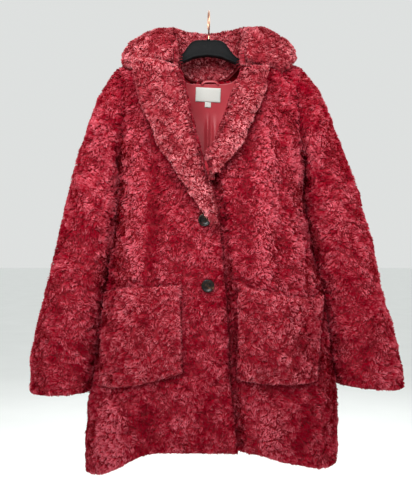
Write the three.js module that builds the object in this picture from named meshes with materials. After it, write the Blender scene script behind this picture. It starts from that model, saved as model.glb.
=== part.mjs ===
// A short faux fur coat with a notched collar, hanging on a moulded plastic hanger.
// Millimetres, +Z up. The coat's front faces -Y and the viewer's right is +X.
// The origin is the inside top of the hook's bend, where it bears on what it hangs from.
// Right and left in the names are the wearer's: the wearer's right front is at -X and lies on top.

import * as THREE from "three";
import { mergeVertices } from "three/addons/utils/BufferGeometryUtils.js";

// Driving dimensions of the cloth
const furWall = 11; // backing and pile together
const collarWall = 14; // two layers of fur, pressed together
const liningWall = 1.5;
const seamGap = 0.3; // between two pieces that are sewn together
const restGap = 1.6; // between a piece and the curved panel it lies on
const sectionPower = 2.4; // 2 is an ellipse, more is squarer
const neckHalfWidth = 80; // from the centre to the side of the neck
const shoulderHalfWidth = 186; // from the centre to the top of the armhole
const shoulderTop = -88; // height of the shoulder seam beside the neck
const shoulderSlope = 0.25; // fall of the shoulder seam for each mm outwards
const shoulderRounding = 70; // height over which a panel rounds over the hanger
const backNeckDrop = 44; // from the side of the neck to the centre of the back neck
const backNeckSquareness = 5; // 2 is a bow, more is flatter in the middle
const underarmHeight = -330;
const frontHemHeight = -880; // at the front edges
const backHemHeight = -912; // at the centre of the back
const rightSideHem = -937; // at the side seams
const leftSideHem = -921;
const rightHemFall = { start: 0.47, width: 0.52 }; // shares of the front, from its edge to its side
const leftHemFall = { start: 0.37, width: 0.37 };
const underlap = 78; // how far the left front runs under the right one
const underlapDip = 18; // how far the left front sinks under the right one
const underlapRamp = 30; // width over which it sinks
const sleeveClearance = 1.6; // from the sleeve to the side of the coat

// Torso sections: centre and half width of the outline, depth of the front and of the back
const torso = {
  columns: ["height", "centre", "halfWidth", "front", "back"],
  rows: [
    [-960, 4, 256, 92, 90],
    [-862, 6, 258, 96, 94],
    [-750, 10, 250, 101, 97],
    [-648, 11, 235, 105, 99],
    [-566, 12, 223, 107, 100],
    [-487, 6, 206, 108, 100],
    [-385, 6, 192, 108, 99],
    [-330, 5, 194, 106, 97],
    [-260, 4, 200, 98, 90],
    [-200, 3, 205, 88, 80],
    [-130, 2, 205, 73, 58],
    [-60, 2, 205, 64, 46],
  ],
};

// Distance of the armhole's edge from the torso's centre line
const armhole = {
  columns: ["height", "distance"],
  rows: [
    [-330, 194],
    [-310, 189],
    [-270, 180],
    [-217, 175],
    [-160, 178],
    [-117, 186],
    [-80, 196],
  ],
};

// Edge of the right front: from the hem up the overlap, the roll line and the neck
const rightFrontEdge = {
  columns: ["height", "x"],
  rows: [
    [-880, 55],
    [-846, 54],
    [-737, 42],
    [-612, 37],
    [-492, 26],
    [-436, 22],
    [-401, 17],
    [-346, 3],
    [-282, -17],
    [-221, -32],
    [-167, -43],
    [-134, -53],
    [-110, -66],
    [-88, -80],
  ],
};

// Roll line and neck of the left front, above its hidden edge
const leftFrontRoll = {
  columns: ["height", "x"],
  rows: [
    [-436, -56],
    [-306, -3],
    [-226, 27],
    [-178, 43],
    [-143, 58],
    [-112, 67],
    [-88, 80],
  ],
};

// Soft folds of the panels: where each starts and ends, half its width, and its height
const frontFolds = {
  columns: ["xTop", "zTop", "xEnd", "zEnd", "spread", "height"],
  rows: [
    [-132, -170, -150, -600, 22, 7],
    [-103, -200, -116, -560, 15, -6],
    [112, -160, 106, -580, 22, 7],
    [78, -220, 70, -560, 16, -5],
    [162, -190, 178, -540, 17, 4],
    [140, -200, 142, -520, 12, -4],
    [-178, -780, -190, -980, 26, 6],
    [-120, -770, -128, -980, 20, -5],
    [120, -770, 130, -980, 24, 6],
    [178, -780, 186, -980, 18, -5],
  ],
};
const backFolds = {
  columns: ["xTop", "zTop", "xEnd", "zEnd", "spread", "height"],
  rows: [
    [-92, -230, -118, -980, 30, 8],
    [-30, -330, -42, -980, 24, -5],
    [36, -300, 30, -980, 28, 7],
    [98, -240, 124, -980, 26, -5],
    [150, -260, 186, -980, 26, 6],
  ],
};

// Sleeves: silhouette away from the coat, height of the side that lies against it, half depth
const rightSleeve = {
  columns: ["outerX", "outerZ", "innerZ", "halfDepth"],
  rows: [
    [-205, -139, -340, 66],
    [-227, -177, -352, 66],
    [-250, -243, -376, 65],
    [-272, -312, -412, 64],
    [-293, -395, -466, 62],
    [-313, -486, -528, 60],
    [-334, -568, -594, 58],
    [-352, -640, -656, 56],
    [-364, -712, -716, 55],
    [-366, -778, -775, 56],
  ],
};
const leftSleeve = {
  columns: ["outerX", "outerZ", "innerZ", "halfDepth"],
  rows: [
    [207, -137, -340, 66],
    [234, -180, -352, 66],
    [256, -240, -376, 65],
    [284, -306, -412, 64],
    [310, -382, -466, 62],
    [336, -478, -528, 60],
    [355, -572, -594, 58],
    [378, -648, -652, 57],
    [392, -708, -706, 57],
    [399, -768, -758, 60],
  ],
};

// Creases pressed into a sleeve: place along it, place around it in degrees, sizes and depth
const sleeveCreases = {
  columns: ["along", "around", "length", "turn", "depth"],
  rows: [
    [0.3, 60, 0.04, 60, 5],
    [0.42, 110, 0.05, 50, -4],
    [0.55, 50, 0.045, 55, 5],
    [0.68, 280, 0.05, 60, 5],
    [0.8, 90, 0.05, 60, -4],
    [0.45, 250, 0.05, 60, 4],
  ],
};

// Collar: the neck seam, the way the fall points, its reach, its rise and its edge
const collarSections = {
  columns: ["neckX", "neckY", "neckZ", "heading", "reach", "rise", "edgeZ"],
  rows: [
    [-57, -76, -131, 164, 100, 15, -128],
    [-60, -64, -118, 166, 106, 46, -118],
    [-68, -42, -100, 170, 106, 62, -112],
    [-79, -6, -85.5, 180, 97, 65, -106],
    [-60, 31, -101, 140, 82, 90, -114],
    [-38, 42, -125, 116, 66, 107, -130],
    [0, 46, -130, 90, 58, 111, -142],
    [38, 42, -125, 64, 66, 109, -131],
    [60, 31, -99, 40, 82, 90, -115],
    [79, -6, -85.5, 0, 97, 65, -105],
    [69, -42, -100, 6, 105, 62, -114],
    [61, -66, -122, 12, 104, 48, -128],
    [60, -76, -130, 12, 90, 15, -137],
  ],
};
const collarSkew = 2.1; // more than 1 sets the fold nearer the neck

// Lapels: each row runs from the roll line to the outer edge
const rightLapel = {
  columns: ["rollX", "rollZ", "edgeX", "edgeZ"],
  rows: [
    [19, -439, 2, -440],
    [17, -404, -23, -408],
    [2, -348, -56, -354],
    [-18, -283, -96, -291],
    [-33, -221, -127, -229],
    [-44, -167, -144, -167],
    [-56, -130, -152, -107],
  ],
};
const leftLapel = {
  columns: ["rollX", "rollZ", "edgeX", "edgeZ"],
  rows: [
    [6, -346, 13, -345],
    [-3, -310, 42, -318],
    [12, -267, 68, -284],
    [27, -226, 93, -233],
    [43, -179, 110, -190],
    [65, -128, 118, -127],
  ],
};
const lapelThickness = 17; // at its middle
const lapelEdgeThickness = 8;
const rightLapelLift = { height: 6.5, start: -390, ramp: 30 }; // its tip passes over the upper button
const leftLapelLift = { height: 6.5, start: -260, ramp: 45 }; // its tip passes over the right front
const liftBelow = (lift) => (z) => lift.height * smoothStep((lift.start - z) / lift.ramp);
const lapelTop = { lift: 12, start: -160, height: 35, straightAbove: -138 }; // it stands clear of the collar's end

// Patch pockets: corners on the front, and how far the middle stands off
const rightPocket = { inner: [-51, -50], outer: [-203, -214], top: [-553, -570], bottom: [-722, -752],
  standOff: 8.5, mouthSag: -3, bottomSag: 14 };
const leftPocket = { inner: [51, 47], outer: [221, 209], top: [-548, -572], bottom: [-733, -743],
  standOff: 20, mouthSag: 16, bottomSag: 10 };
const pocketWall = 10;
const pocketGap = 0.9; // from the front to the sewn edges
const leftPocketSink = 0.6; // share of the left front's dip that its pocket follows

// Buttons, label and loop
const buttonRadius = 12.5;
const buttonThickness = 4;
const buttonGap = 0.7; // from the front's face
const buttonCentres = { button_top: [-8, -430], button_lower: [-2, -555] };
const labelSize = { width: 53, height: 28, thickness: 1, centreX: -1, top: -143.5, turn: -2.5 };
const sizeTab = { width: 13, height: 10, thickness: 0.8, centreX: -1.5, drop: 0.6 };
const labelGap = 1.4; // from the lining's face to the middle of each
const tabGap = 1.2;
const loopGap = 2.2;
const liningEnd = -430; // height where the built stretch of the lining ends
const liningColumns = 5; // of the back's columns, on each side of the middle
const liningDepth = furWall + 0.5; // from the back's outer face
const liningLean = 1.06; // the back slopes here, which lengthens a distance measured along Y
const loopTape = { halfSpan: 18, rise: 7, width: 5, thickness: 1.6, centreX: 3, height: -138 };

// Hanger sections from the centre to the tip: top edge, bottom edge and half depth
const hangerSections = {
  columns: ["x", "top", "bottom", "halfDepth"],
  rows: [
    [0, -57, -90, 7],
    [27, -58.5, -94, 7.5],
    [39, -68, -99, 8],
    [50, -84, -103, 8.5],
    [64, -96, -108, 9],
    [90, -103.1, -116, 8],
    [125, -112, -127, 8],
    [160, -120.9, -138, 6.5],
    [176, -125, -141, 5.5],
    [183, -129, -138, 4],
  ],
};
const hangerCentre = -2;
const wireRadius = 1.6;
const hookBend = 22; // to the middle of the wire
const hookTurn = 3; // degrees about the upright

// Materials
const furFinish = { color: 0xb23a49, roughness: 0.95, metalness: 0 };
const liningFinish = { color: 0xbd3c4c, roughness: 0.45, metalness: 0 };
const labelFinish = { color: 0xe7e9e2, roughness: 0.8, metalness: 0 };
const hornFinish = { color: 0x2b1a14, roughness: 0.2, metalness: 0 };
const plasticFinish = { color: 0x2c2d2e, roughness: 0.55, metalness: 0 };
const copperFinish = { color: 0xc78a6a, roughness: 0.3, metalness: 1 };

// Tables

function tableColumn(table, name) {
  const index = table.columns.indexOf(name);
  return table.rows.map((row) => row[index]);
}

// Smooth curve through the values of a column, at a place measured along the keys
function smoothThrough(keys, values, place) {
  const rising = keys[0] < keys[keys.length - 1];
  const key = rising ? keys : [...keys].reverse();
  const value = rising ? values : [...values].reverse();
  const last = key.length - 1;
  if (place <= key[0]) return value[0];
  if (place >= key[last]) return value[last];
  let i = 0;
  while (key[i + 1] < place) i += 1;
  const span = key[i + 1] - key[i];
  const slopeAt = (k) => {
    const a = Math.max(k - 1, 0);
    const b = Math.min(k + 1, last);
    return (value[b] - value[a]) / (key[b] - key[a]);
  };
  const t = (place - key[i]) / span;
  const startShare = (1 + 2 * t) * (1 - t) ** 2;
  const endShare = t * t * (3 - 2 * t);
  const startPull = t * (1 - t) ** 2 * span * slopeAt(i);
  const endPull = t * t * (t - 1) * span * slopeAt(i + 1);
  return startShare * value[i] + endShare * value[i + 1] + startPull + endPull;
}

function read(table, keyName, valueName, place) {
  return smoothThrough(tableColumn(table, keyName), tableColumn(table, valueName), place);
}

// A table's column at a fraction of the way through its rows
function readAlong(table, name, fraction) {
  const values = tableColumn(table, name);
  const keys = values.map((_, i) => i);
  return smoothThrough(keys, values, fraction * (values.length - 1));
}

const mix = (a, b, share) => a + (b - a) * share;
const clamp = (value, low, high) => Math.min(Math.max(value, low), high);
const smoothStep = (value) => {
  const t = clamp(value, 0, 1);
  return t * t * (3 - 2 * t);
};
const bell = (distance, spread) => Math.exp(-((distance / spread) ** 2));

// The torso's form

const shoulderHeight = (x) => shoulderTop - shoulderSlope * (Math.abs(x) - neckHalfWidth);

function foldLift(folds, x, z) {
  let lift = 0;
  for (const [xTop, zTop, xEnd, zEnd, spread, height] of folds.rows) {
    const down = (zTop - z) / (zTop - zEnd);
    const fade = smoothStep(down * 5) * smoothStep((1 - down) * 5 + 0.4);
    lift += height * fade * bell(x - mix(xTop, xEnd, down), spread);
  }
  return lift;
}

// Depth of the torso's outer face in front of (side -1) or behind (side 1) the side seams
function torsoDepth(side, x, z) {
  const centre = read(torso, "height", "centre", z);
  const halfWidth = read(torso, "height", "halfWidth", z);
  const deepest = read(torso, "height", side < 0 ? "front" : "back", z);
  const across = clamp(Math.abs(x - centre) / halfWidth, 0, 1);
  const round = (1 - across ** sectionPower) ** (1 / sectionPower);
  const below = clamp((shoulderHeight(x) - z) / shoulderRounding, 0, 1);
  const over = Math.sqrt(1 - (1 - below) ** 2);
  const folds = foldLift(side < 0 ? frontFolds : backFolds, x, z) * smoothStep(round * 1.5 - 0.4);
  return side * (deepest * round * over + folds * over);
}

const sideX = (side, z) => read(torso, "height", "centre", z) + side * read(torso, "height", "halfWidth", z);

function armholeX(side, z) {
  const centre = read(torso, "height", "centre", z);
  return centre + side * read(armhole, "height", "distance", z);
}

// Where the left front sinks to pass under the right one
function underlapLift(x, z) {
  const edge = read(rightFrontEdge, "height", "x", z);
  return -underlapDip * smoothStep((edge + underlapRamp - x) / (underlapRamp - 2));
}

// Meshes

const corner = (x, y, z) => new THREE.Vector3(x, y, z);

function material(finish) {
  return new THREE.MeshStandardMaterial(finish);
}

// Closed solid between an outer and an inner grid of points, with rims along the open edges
function wallGeometry(outer, inner, closedAround) {
  const rows = outer.length;
  const columns = outer[0].length;
  const points = [...outer.flat(), ...inner.flat()];
  const innerStart = rows * columns;
  const faces = [];
  const at = (i, j) => i * columns + (j % columns);
  const quad = (a, b, c, d) => faces.push(a, b, c, a, c, d);
  const lastColumn = closedAround ? columns : columns - 1;
  for (let i = 0; i + 1 < rows; i += 1) {
    for (let j = 0; j < lastColumn; j += 1) {
      const [a, b, c, d] = [at(i, j), at(i, j + 1), at(i + 1, j + 1), at(i + 1, j)];
      quad(a, b, c, d);
      quad(innerStart + a, innerStart + d, innerStart + c, innerStart + b);
    }
  }
  for (let j = 0; j < lastColumn; j += 1) {
    const [a, b] = [at(0, j), at(0, j + 1)];
    const [c, d] = [at(rows - 1, j), at(rows - 1, j + 1)];
    quad(b, a, innerStart + a, innerStart + b);
    quad(c, d, innerStart + d, innerStart + c);
  }
  if (!closedAround) {
    for (let i = 0; i + 1 < rows; i += 1) {
      const [a, b] = [at(i, 0), at(i + 1, 0)];
      const [c, d] = [at(i, columns - 1), at(i + 1, columns - 1)];
      quad(a, b, innerStart + b, innerStart + a);
      quad(d, c, innerStart + c, innerStart + d);
    }
  }
  return facing(points, faces);
}

// Geometry from points and triangles, turned so that its faces point out
function facing(points, faces) {
  let volume = 0;
  for (let i = 0; i < faces.length; i += 3) {
    const [a, b, c] = [points[faces[i]], points[faces[i + 1]], points[faces[i + 2]]];
    volume += a.dot(b.clone().cross(c));
  }
  const index = volume > 0 ? faces : [...faces].reverse();
  const geometry = new THREE.BufferGeometry();
  geometry.setAttribute("position", new THREE.Float32BufferAttribute(points.flatMap((p) => p.toArray()), 3));
  geometry.setIndex(index);
  geometry.computeVertexNormals();
  return geometry;
}

// Unit normals of a grid of points, all on the side that "outward" points to
function gridNormals(grid, closedAround, outward) {
  const rows = grid.length;
  const columns = grid[0].length;
  return grid.map((row, i) => row.map((point, j) => {
    const before = closedAround ? (j + columns - 1) % columns : Math.max(j - 1, 0);
    const after = closedAround ? (j + 1) % columns : Math.min(j + 1, columns - 1);
    const across = row[after].clone().sub(row[before]);
    const along = grid[Math.min(i + 1, rows - 1)][j].clone().sub(grid[Math.max(i - 1, 0)][j]);
    const normal = across.cross(along).normalize();
    return normal.dot(outward(point, i, j)) < 0 ? normal.negate() : normal;
  }));
}

function offsetGrid(grid, normals, distance) {
  return grid.map((row, i) => row.map((point, j) => point.clone().addScaledVector(normals[i][j], distance)));
}

function named(name, geometry, finish) {
  const mesh = new THREE.Mesh(geometry, material(finish));
  mesh.name = name;
  return mesh;
}

// Fronts and back

const panelRows = 22;
const frontColumns = 17;
const edgeCrowding = 1.25; // more than 1 sets the columns closer near the front edge
const backColumns = 31;
const underarmRow = 0.6; // share of the rows below the underarm

// Height of a panel's row at an edge that runs from its foot past the underarm to its top
function edgeHeight(row, foot, top) {
  const share = row / (panelRows - 1);
  if (share <= underarmRow) return mix(foot, underarmHeight, share / underarmRow);
  const above = (share - underarmRow) / (1 - underarmRow);
  return mix(underarmHeight, top, 1 - (1 - above) ** 1.5);
}

const sideHem = (side) => (side < 0 ? rightSideHem : leftSideHem);

function sideEdge(side, row) {
  const z = edgeHeight(row, sideHem(side), shoulderHeight(shoulderHalfWidth));
  const x = z < underarmHeight ? sideX(side, z) : armholeX(side, z);
  return { x, z };
}

// Even steps around the section, from one place across it to another
function aroundSection(xFrom, xTo, z, share) {
  const centre = read(torso, "height", "centre", z);
  const halfWidth = read(torso, "height", "halfWidth", z);
  const angle = (x) => Math.acos(clamp((x - centre) / halfWidth, -1, 1));
  return centre + halfWidth * Math.cos(mix(angle(xFrom), angle(xTo), share));
}

// Keeps a point on its own side of the side and shoulder seams
function keepSide(side, point) {
  const nearest = seamGap / 2;
  if (point.y * side < nearest) point.y = nearest * side;
  return point;
}

function frontGrid(side, edgeX, lift, hemFall) {
  const grid = [];
  for (let i = 0; i < panelRows; i += 1) {
    const zEdge = edgeHeight(i, frontHemHeight, shoulderTop);
    const start = { x: edgeX(zEdge), z: zEdge };
    const end = sideEdge(side, i);
    const level = smoothStep(i / 8);
    const row = [];
    for (let j = 0; j < frontColumns; j += 1) {
      const share = (j / (frontColumns - 1)) ** edgeCrowding;
      const xGuess = aroundSection(start.x, end.x, mix(start.z, end.z, share), share);
      const x = j === 0 ? start.x : j === frontColumns - 1 ? end.x : xGuess;
      const across = clamp((x - start.x) / (end.x - start.x), 0, 1);
      const fall = smoothStep((across - hemFall.start) / hemFall.width);
      const z = mix(start.z, end.z, mix(fall, across, level));
      row.push(keepSide(-1, corner(x, torsoDepth(-1, x, z) - lift(x, z), z)));
    }
    grid.push(row);
  }
  return grid;
}

// Hidden edge of the left front below the break of the roll line, and the roll line above it
function leftFrontEdgeX(z) {
  const breakHeight = leftFrontRoll.rows[0][0];
  if (z > breakHeight) return read(leftFrontRoll, "height", "x", z);
  return read(rightFrontEdge, "height", "x", z) - underlap;
}

function panelWall(grid, side, thickness) {
  const middle = corner(0, 0, 0);
  const outward = (point) => middle.set(point.x, point.y * 2, Math.max(point.z + 180, 0) * 2).clone();
  const normals = gridNormals(grid, false, outward);
  const inner = offsetGrid(grid, normals, -thickness);
  inner.forEach((row) => row.forEach((point) => keepSide(side, point)));
  const topRow = grid.length - 1;
  inner[topRow].forEach((point, j) => {
    const above = grid[topRow][j];
    if (Math.abs(above.x) >= neckHalfWidth) point.copy(above).setZ(above.z - thickness);
  });
  return { normals, inner };
}

function frontPanel(name, side, edgeX, lift, hemFall) {
  const grid = frontGrid(side, edgeX, lift, hemFall);
  const { inner } = panelWall(grid, -1, furWall);
  return named(name, wallGeometry(grid, inner, false), furFinish);
}

const backNeckHeight = (x) => shoulderTop - backNeckDrop * (1 - Math.abs(x / neckHalfWidth) ** backNeckSquareness);

function backTop(x) {
  return Math.abs(x) < neckHalfWidth ? backNeckHeight(x) : shoulderHeight(x);
}

function backGrid() {
  const grid = [];
  for (let i = 0; i < panelRows; i += 1) {
    const left = sideEdge(-1, i);
    const right = sideEdge(1, i);
    const row = [];
    for (let j = 0; j < backColumns; j += 1) {
      const share = j / (backColumns - 1);
      const x = j === 0 ? left.x : j === backColumns - 1 ? right.x : aroundSection(left.x, right.x, left.z, share);
      const across = Math.abs(x) / Math.max(Math.abs(left.x), Math.abs(right.x));
      const foot = mix(backHemHeight, sideHem(x), across ** 3);
      const z = j === 0 || j === backColumns - 1 ? left.z : edgeHeight(i, foot, backTop(x));
      row.push(keepSide(1, corner(x, torsoDepth(1, x, z), z)));
    }
    grid.push(row);
  }
  return grid;
}

// Lining, label, size tab and loop, which show in the neck

// Stretch of the lining behind the neck, on the back's inner face
function liningPanel(grid, normals) {
  const middle = Math.floor(backColumns / 2);
  const firstRow = grid.findIndex((row) => row[middle].z > liningEnd);
  const keep = (distance) => {
    const shifted = offsetGrid(grid, normals, -distance).slice(firstRow);
    return shifted.map((row) => row.slice(middle - liningColumns, middle + liningColumns + 1));
  };
  return named("lining", wallGeometry(keep(liningDepth), keep(liningDepth + liningWall), false), liningFinish);
}

function liningFaceY(x, z) {
  return torsoDepth(1, x, z) - (liningDepth + liningWall) * liningLean;
}

function flatPatch(name, size, x, top, standOff, finish) {
  const geometry = new THREE.BoxGeometry(size.width, size.thickness, size.height);
  const mesh = named(name, geometry, finish);
  const z = top - size.height / 2;
  const lean = Math.atan2(liningFaceY(x, z + 10) - liningFaceY(x, z - 10), 20);
  mesh.position.set(x, liningFaceY(x, z) - standOff, z);
  mesh.rotation.set(-lean, THREE.MathUtils.degToRad(-labelSize.turn), 0);
  return mesh;
}

function hangingLoop() {
  const y = liningFaceY(loopTape.centreX, loopTape.height) - loopGap;
  const arc = new THREE.CatmullRomCurve3([-1, -0.8, -0.4, 0, 0.4, 0.8, 1].map((share) => {
    const rise = loopTape.rise * (1 - share ** 4);
    return corner(loopTape.centreX + loopTape.halfSpan * share, y - rise * 0.3, loopTape.height + rise);
  }));
  const half = loopTape.thickness / 2;
  const wide = loopTape.width / 2;
  const section = new THREE.Shape([
    new THREE.Vector2(-half, -wide), new THREE.Vector2(half, -wide),
    new THREE.Vector2(half, wide), new THREE.Vector2(-half, wide),
  ]);
  const geometry = new THREE.ExtrudeGeometry(section, { steps: 10, extrudePath: arc, bevelEnabled: false });
  return named("hanging_loop", geometry, liningFinish);
}

// Sleeves

const sleeveRings = 21;
const sleevePoints = 22;

// Armhole's edge on the torso's outer face, from the shoulder (0) by the front to the underarm (pi)
function armholePoint(side, turn) {
  const isFront = turn < Math.PI;
  const down = (1 - Math.cos(turn)) / 2;
  const z = mix(shoulderHeight(shoulderHalfWidth), underarmHeight, down);
  const x = armholeX(side, z);
  const y = torsoDepth(isFront ? -1 : 1, x, z);
  return corner(x + side * 0.8, y, z);
}

function sleeveRing(side, table, fraction) {
  const outer = corner(readAlong(table, "outerX", fraction), 0, readAlong(table, "outerZ", fraction));
  const innerZ = readAlong(table, "innerZ", fraction);
  const inner = corner(sideX(side, innerZ) + side * sleeveClearance, 0, innerZ);
  const halfDepth = readAlong(table, "halfDepth", fraction);
  return { outer, inner, halfDepth };
}

function creaseDepth(along, turn) {
  let depth = 0;
  for (const [place, around, length, spread, height] of sleeveCreases.rows) {
    const degrees = THREE.MathUtils.radToDeg(turn);
    const apart = Math.abs(((degrees - around + 540) % 360) - 180);
    depth += height * bell(along - place, length) * bell(apart, spread);
  }
  return depth;
}

function sleeveGrid(side, table) {
  const grid = [];
  for (let i = 0; i < sleeveRings; i += 1) {
    const along = i / (sleeveRings - 1);
    const fraction = Math.max((i - 1) / (sleeveRings - 2), 0);
    const ring = sleeveRing(side, table, fraction);
    const centre = ring.outer.clone().add(ring.inner).multiplyScalar(0.5);
    const half = ring.outer.clone().sub(centre);
    const settled = [0, 0.55, 0.9][i] ?? 1;
    const row = [];
    for (let j = 0; j < sleevePoints; j += 1) {
      const turn = (2 * Math.PI * j) / sleevePoints;
      const sine = Math.sin(turn);
      const reach = 1 - (creaseDepth(along, turn) * Math.abs(sine)) / ring.halfDepth;
      const point = centre.clone().addScaledVector(half, Math.cos(turn));
      point.y = -ring.halfDepth * Math.sign(sine) * Math.abs(sine) ** 0.85 * reach;
      row.push(armholePoint(side, turn).lerp(point, settled));
    }
    grid.push(row);
  }
  return grid;
}

function sleeve(name, side, table) {
  const grid = sleeveGrid(side, table);
  const middles = grid.map((row) => {
    const sum = row.reduce((total, point) => total.add(point), corner(0, 0, 0));
    return sum.multiplyScalar(1 / row.length);
  });
  const outward = (point, i) => point.clone().sub(middles[i]);
  const inner = offsetGrid(grid, gridNormals(grid, true, outward), -furWall);
  inner[0] = grid[0].map((point) => {
    const inwards = middles[0].clone().add(corner(side * 26, 0, 0)).sub(point).normalize();
    return point.clone().addScaledVector(inwards, furWall);
  });
  return named(name, wallGeometry(grid, inner, true), furFinish);
}

// Collar: a stand that rolls over into a fall, open below

const collarSteps = 36;
const collarArchSteps = 9;

function collarArch(section, inset) {
  const heading = THREE.MathUtils.degToRad(section.heading);
  const row = [];
  for (let j = 0; j < collarArchSteps; j += 1) {
    const share = j / (collarArchSteps - 1);
    const turn = Math.PI * share;
    const reach = inset + (section.reach - 2 * inset) * ((1 - Math.cos(turn)) / 2) ** collarSkew;
    const height = mix(section.neckZ, section.edgeZ, share) + (section.rise - inset) * Math.sin(turn) ** 0.75;
    row.push(corner(
      section.neckX + reach * Math.cos(heading),
      section.neckY + reach * Math.sin(heading),
      height,
    ));
  }
  return row;
}

function collar() {
  const outer = [];
  const inner = [];
  for (let i = 0; i < collarSteps; i += 1) {
    const fraction = i / (collarSteps - 1);
    const section = {};
    for (const name of collarSections.columns) section[name] = readAlong(collarSections, name, fraction);
    outer.push(collarArch(section, 0));
    inner.push(collarArch(section, collarWall));
  }
  return named("collar", wallGeometry(outer, inner, false), furFinish);
}

// Lapels and pockets lie on the fronts

const lapelRows = 16;
const lapelColumns = 7;

function lapel(name, table, lift, baseLift) {
  const outer = [];
  const inner = [];
  for (let i = 0; i < lapelRows; i += 1) {
    const along = i / (lapelRows - 1);
    const outerRow = [];
    const innerRow = [];
    for (let j = 0; j < lapelColumns; j += 1) {
      const share = j / (lapelColumns - 1);
      const x = mix(readAlong(table, "rollX", along), readAlong(table, "edgeX", along), share);
      const z = mix(readAlong(table, "rollZ", along), readAlong(table, "edgeZ", along), share);
      const front = torsoDepth(-1, x, Math.min(z, lapelTop.straightAbove)) - lift(x, z);
      const clear = lapelTop.lift * smoothStep((z - lapelTop.start) / lapelTop.height);
      const base = front - restGap - baseLift(z) - clear;
      const middle = Math.sin(Math.PI * share) ** 0.6 * Math.min(1, along * 6 + 0.3);
      innerRow.push(corner(x, base, z));
      outerRow.push(corner(x, base - mix(lapelEdgeThickness, lapelThickness, middle), z));
    }
    outer.push(outerRow);
    inner.push(innerRow);
  }
  return named(name, wallGeometry(outer, inner, false), furFinish);
}

const pocketSteps = 10;

function pocket(name, shape, lift) {
  const outer = [];
  const inner = [];
  for (let i = 0; i < pocketSteps; i += 1) {
    const down = i / (pocketSteps - 1);
    const outerRow = [];
    const innerRow = [];
    for (let j = 0; j < pocketSteps; j += 1) {
      const share = j / (pocketSteps - 1);
      const middle = Math.sin(Math.PI * share);
      const top = mix(shape.top[0], shape.top[1], share) - shape.mouthSag * middle;
      const bottom = mix(shape.bottom[0], shape.bottom[1], share) - shape.bottomSag * middle;
      const z = mix(top, bottom, down);
      const xInner = mix(shape.inner[0], shape.inner[1], down);
      const xOuter = mix(shape.outer[0], shape.outer[1], down);
      const x = aroundSection(xInner, xOuter, z, share);
      const away = new THREE.Vector3(0, -1, 0);
      const slope = (torsoDepth(-1, x + 4, z) - torsoDepth(-1, x - 4, z)) / 8;
      away.set(slope, -1, 0).normalize();
      const hollow = shape.standOff * middle ** 1.2 * (1 - down ** 3);
      const base = corner(x, torsoDepth(-1, x, z) - lift(x, z), z).addScaledVector(away, pocketGap + hollow);
      innerRow.push(base);
      outerRow.push(base.clone().addScaledVector(away, pocketWall));
    }
    outer.push(outerRow);
    inner.push(innerRow);
  }
  return named(name, wallGeometry(outer, inner, false), furFinish);
}

// Buttons, hanger and hook

function button(name, [x, z]) {
  const rim = buttonThickness;
  const profile = [
    [0, 0], [buttonRadius - 1, 0], [buttonRadius, 1], [buttonRadius, rim - 1], [buttonRadius - 1, rim],
    [buttonRadius - 3, rim], [buttonRadius - 5, rim - 1.2], [0, rim - 1.2],
  ].map(([radius, height]) => new THREE.Vector2(radius, height));
  const geometry = new THREE.LatheGeometry(profile, 20);
  geometry.rotateX(Math.PI);
  const mesh = named(name, geometry, hornFinish);
  mesh.position.set(x, torsoDepth(-1, x, z) - buttonGap, z);
  return mesh;
}

function hanger() {
  const sections = [];
  const ends = hangerSections.rows.slice(1).map((row) => [-row[0], ...row.slice(1)]).reverse();
  for (const [x, top, bottom, halfDepth] of [...ends, ...hangerSections.rows]) {
    const row = [];
    const sides = 12;
    for (let j = 0; j < sides; j += 1) {
      const turn = (2 * Math.PI * j) / sides;
      const y = halfDepth * Math.cos(turn);
      row.push(corner(hangerCentre + x, y, mix(bottom, top, (1 + Math.sin(turn)) / 2)));
    }
    sections.push(row);
  }
  const columns = sections[0].length;
  const points = sections.flat();
  const faces = [];
  for (let i = 0; i + 1 < sections.length; i += 1) {
    for (let j = 0; j < columns; j += 1) {
      const [a, b] = [i * columns + j, i * columns + ((j + 1) % columns)];
      faces.push(a, b, b + columns, a, b + columns, a + columns);
    }
  }
  const lastStart = (sections.length - 1) * columns;
  for (let j = 1; j + 1 < columns; j += 1) {
    faces.push(0, j + 1, j);
    faces.push(lastStart, lastStart + j, lastStart + j + 1);
  }
  return named("hanger", facing(points, faces), plasticFinish);
}

// The wire rises from the hanger, swings forward and bends back over the top
function hook() {
  const middle = wireRadius - hookBend;
  const points = [corner(0, 0, hangerSections.rows[0][1] + seamGap), corner(0, 0, middle - hookBend - 5)];
  const firstTurn = -75;
  const lastTurn = 205;
  const steps = 14;
  for (let i = 0; i <= steps; i += 1) {
    const turn = THREE.MathUtils.degToRad(mix(firstTurn, lastTurn, i / steps));
    points.push(corner(0, -hookBend * Math.cos(turn), middle + hookBend * Math.sin(turn)));
  }
  const path = new THREE.CatmullRomCurve3(points, false, "centripetal");
  const section = new THREE.Shape();
  section.absarc(0, 0, wireRadius, 0, 2 * Math.PI);
  const options = { steps: 40, curveSegments: 2, extrudePath: path, bevelEnabled: false };
  const geometry = new THREE.ExtrudeGeometry(section, options);
  const mesh = named("hook", geometry, copperFinish);
  mesh.rotation.z = THREE.MathUtils.degToRad(hookTurn);
  return mesh;
}

// Welds shared corners, so that every mesh is one closed skin
function welded(mesh) {
  mesh.geometry.deleteAttribute("uv");
  mesh.geometry.deleteAttribute("normal");
  mesh.geometry = mergeVertices(mesh.geometry, 1e-4);
  mesh.geometry.computeVertexNormals();
  return mesh;
}

const noLift = () => 0;
const back = backGrid();
const backSkin = panelWall(back, 1, furWall);

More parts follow.
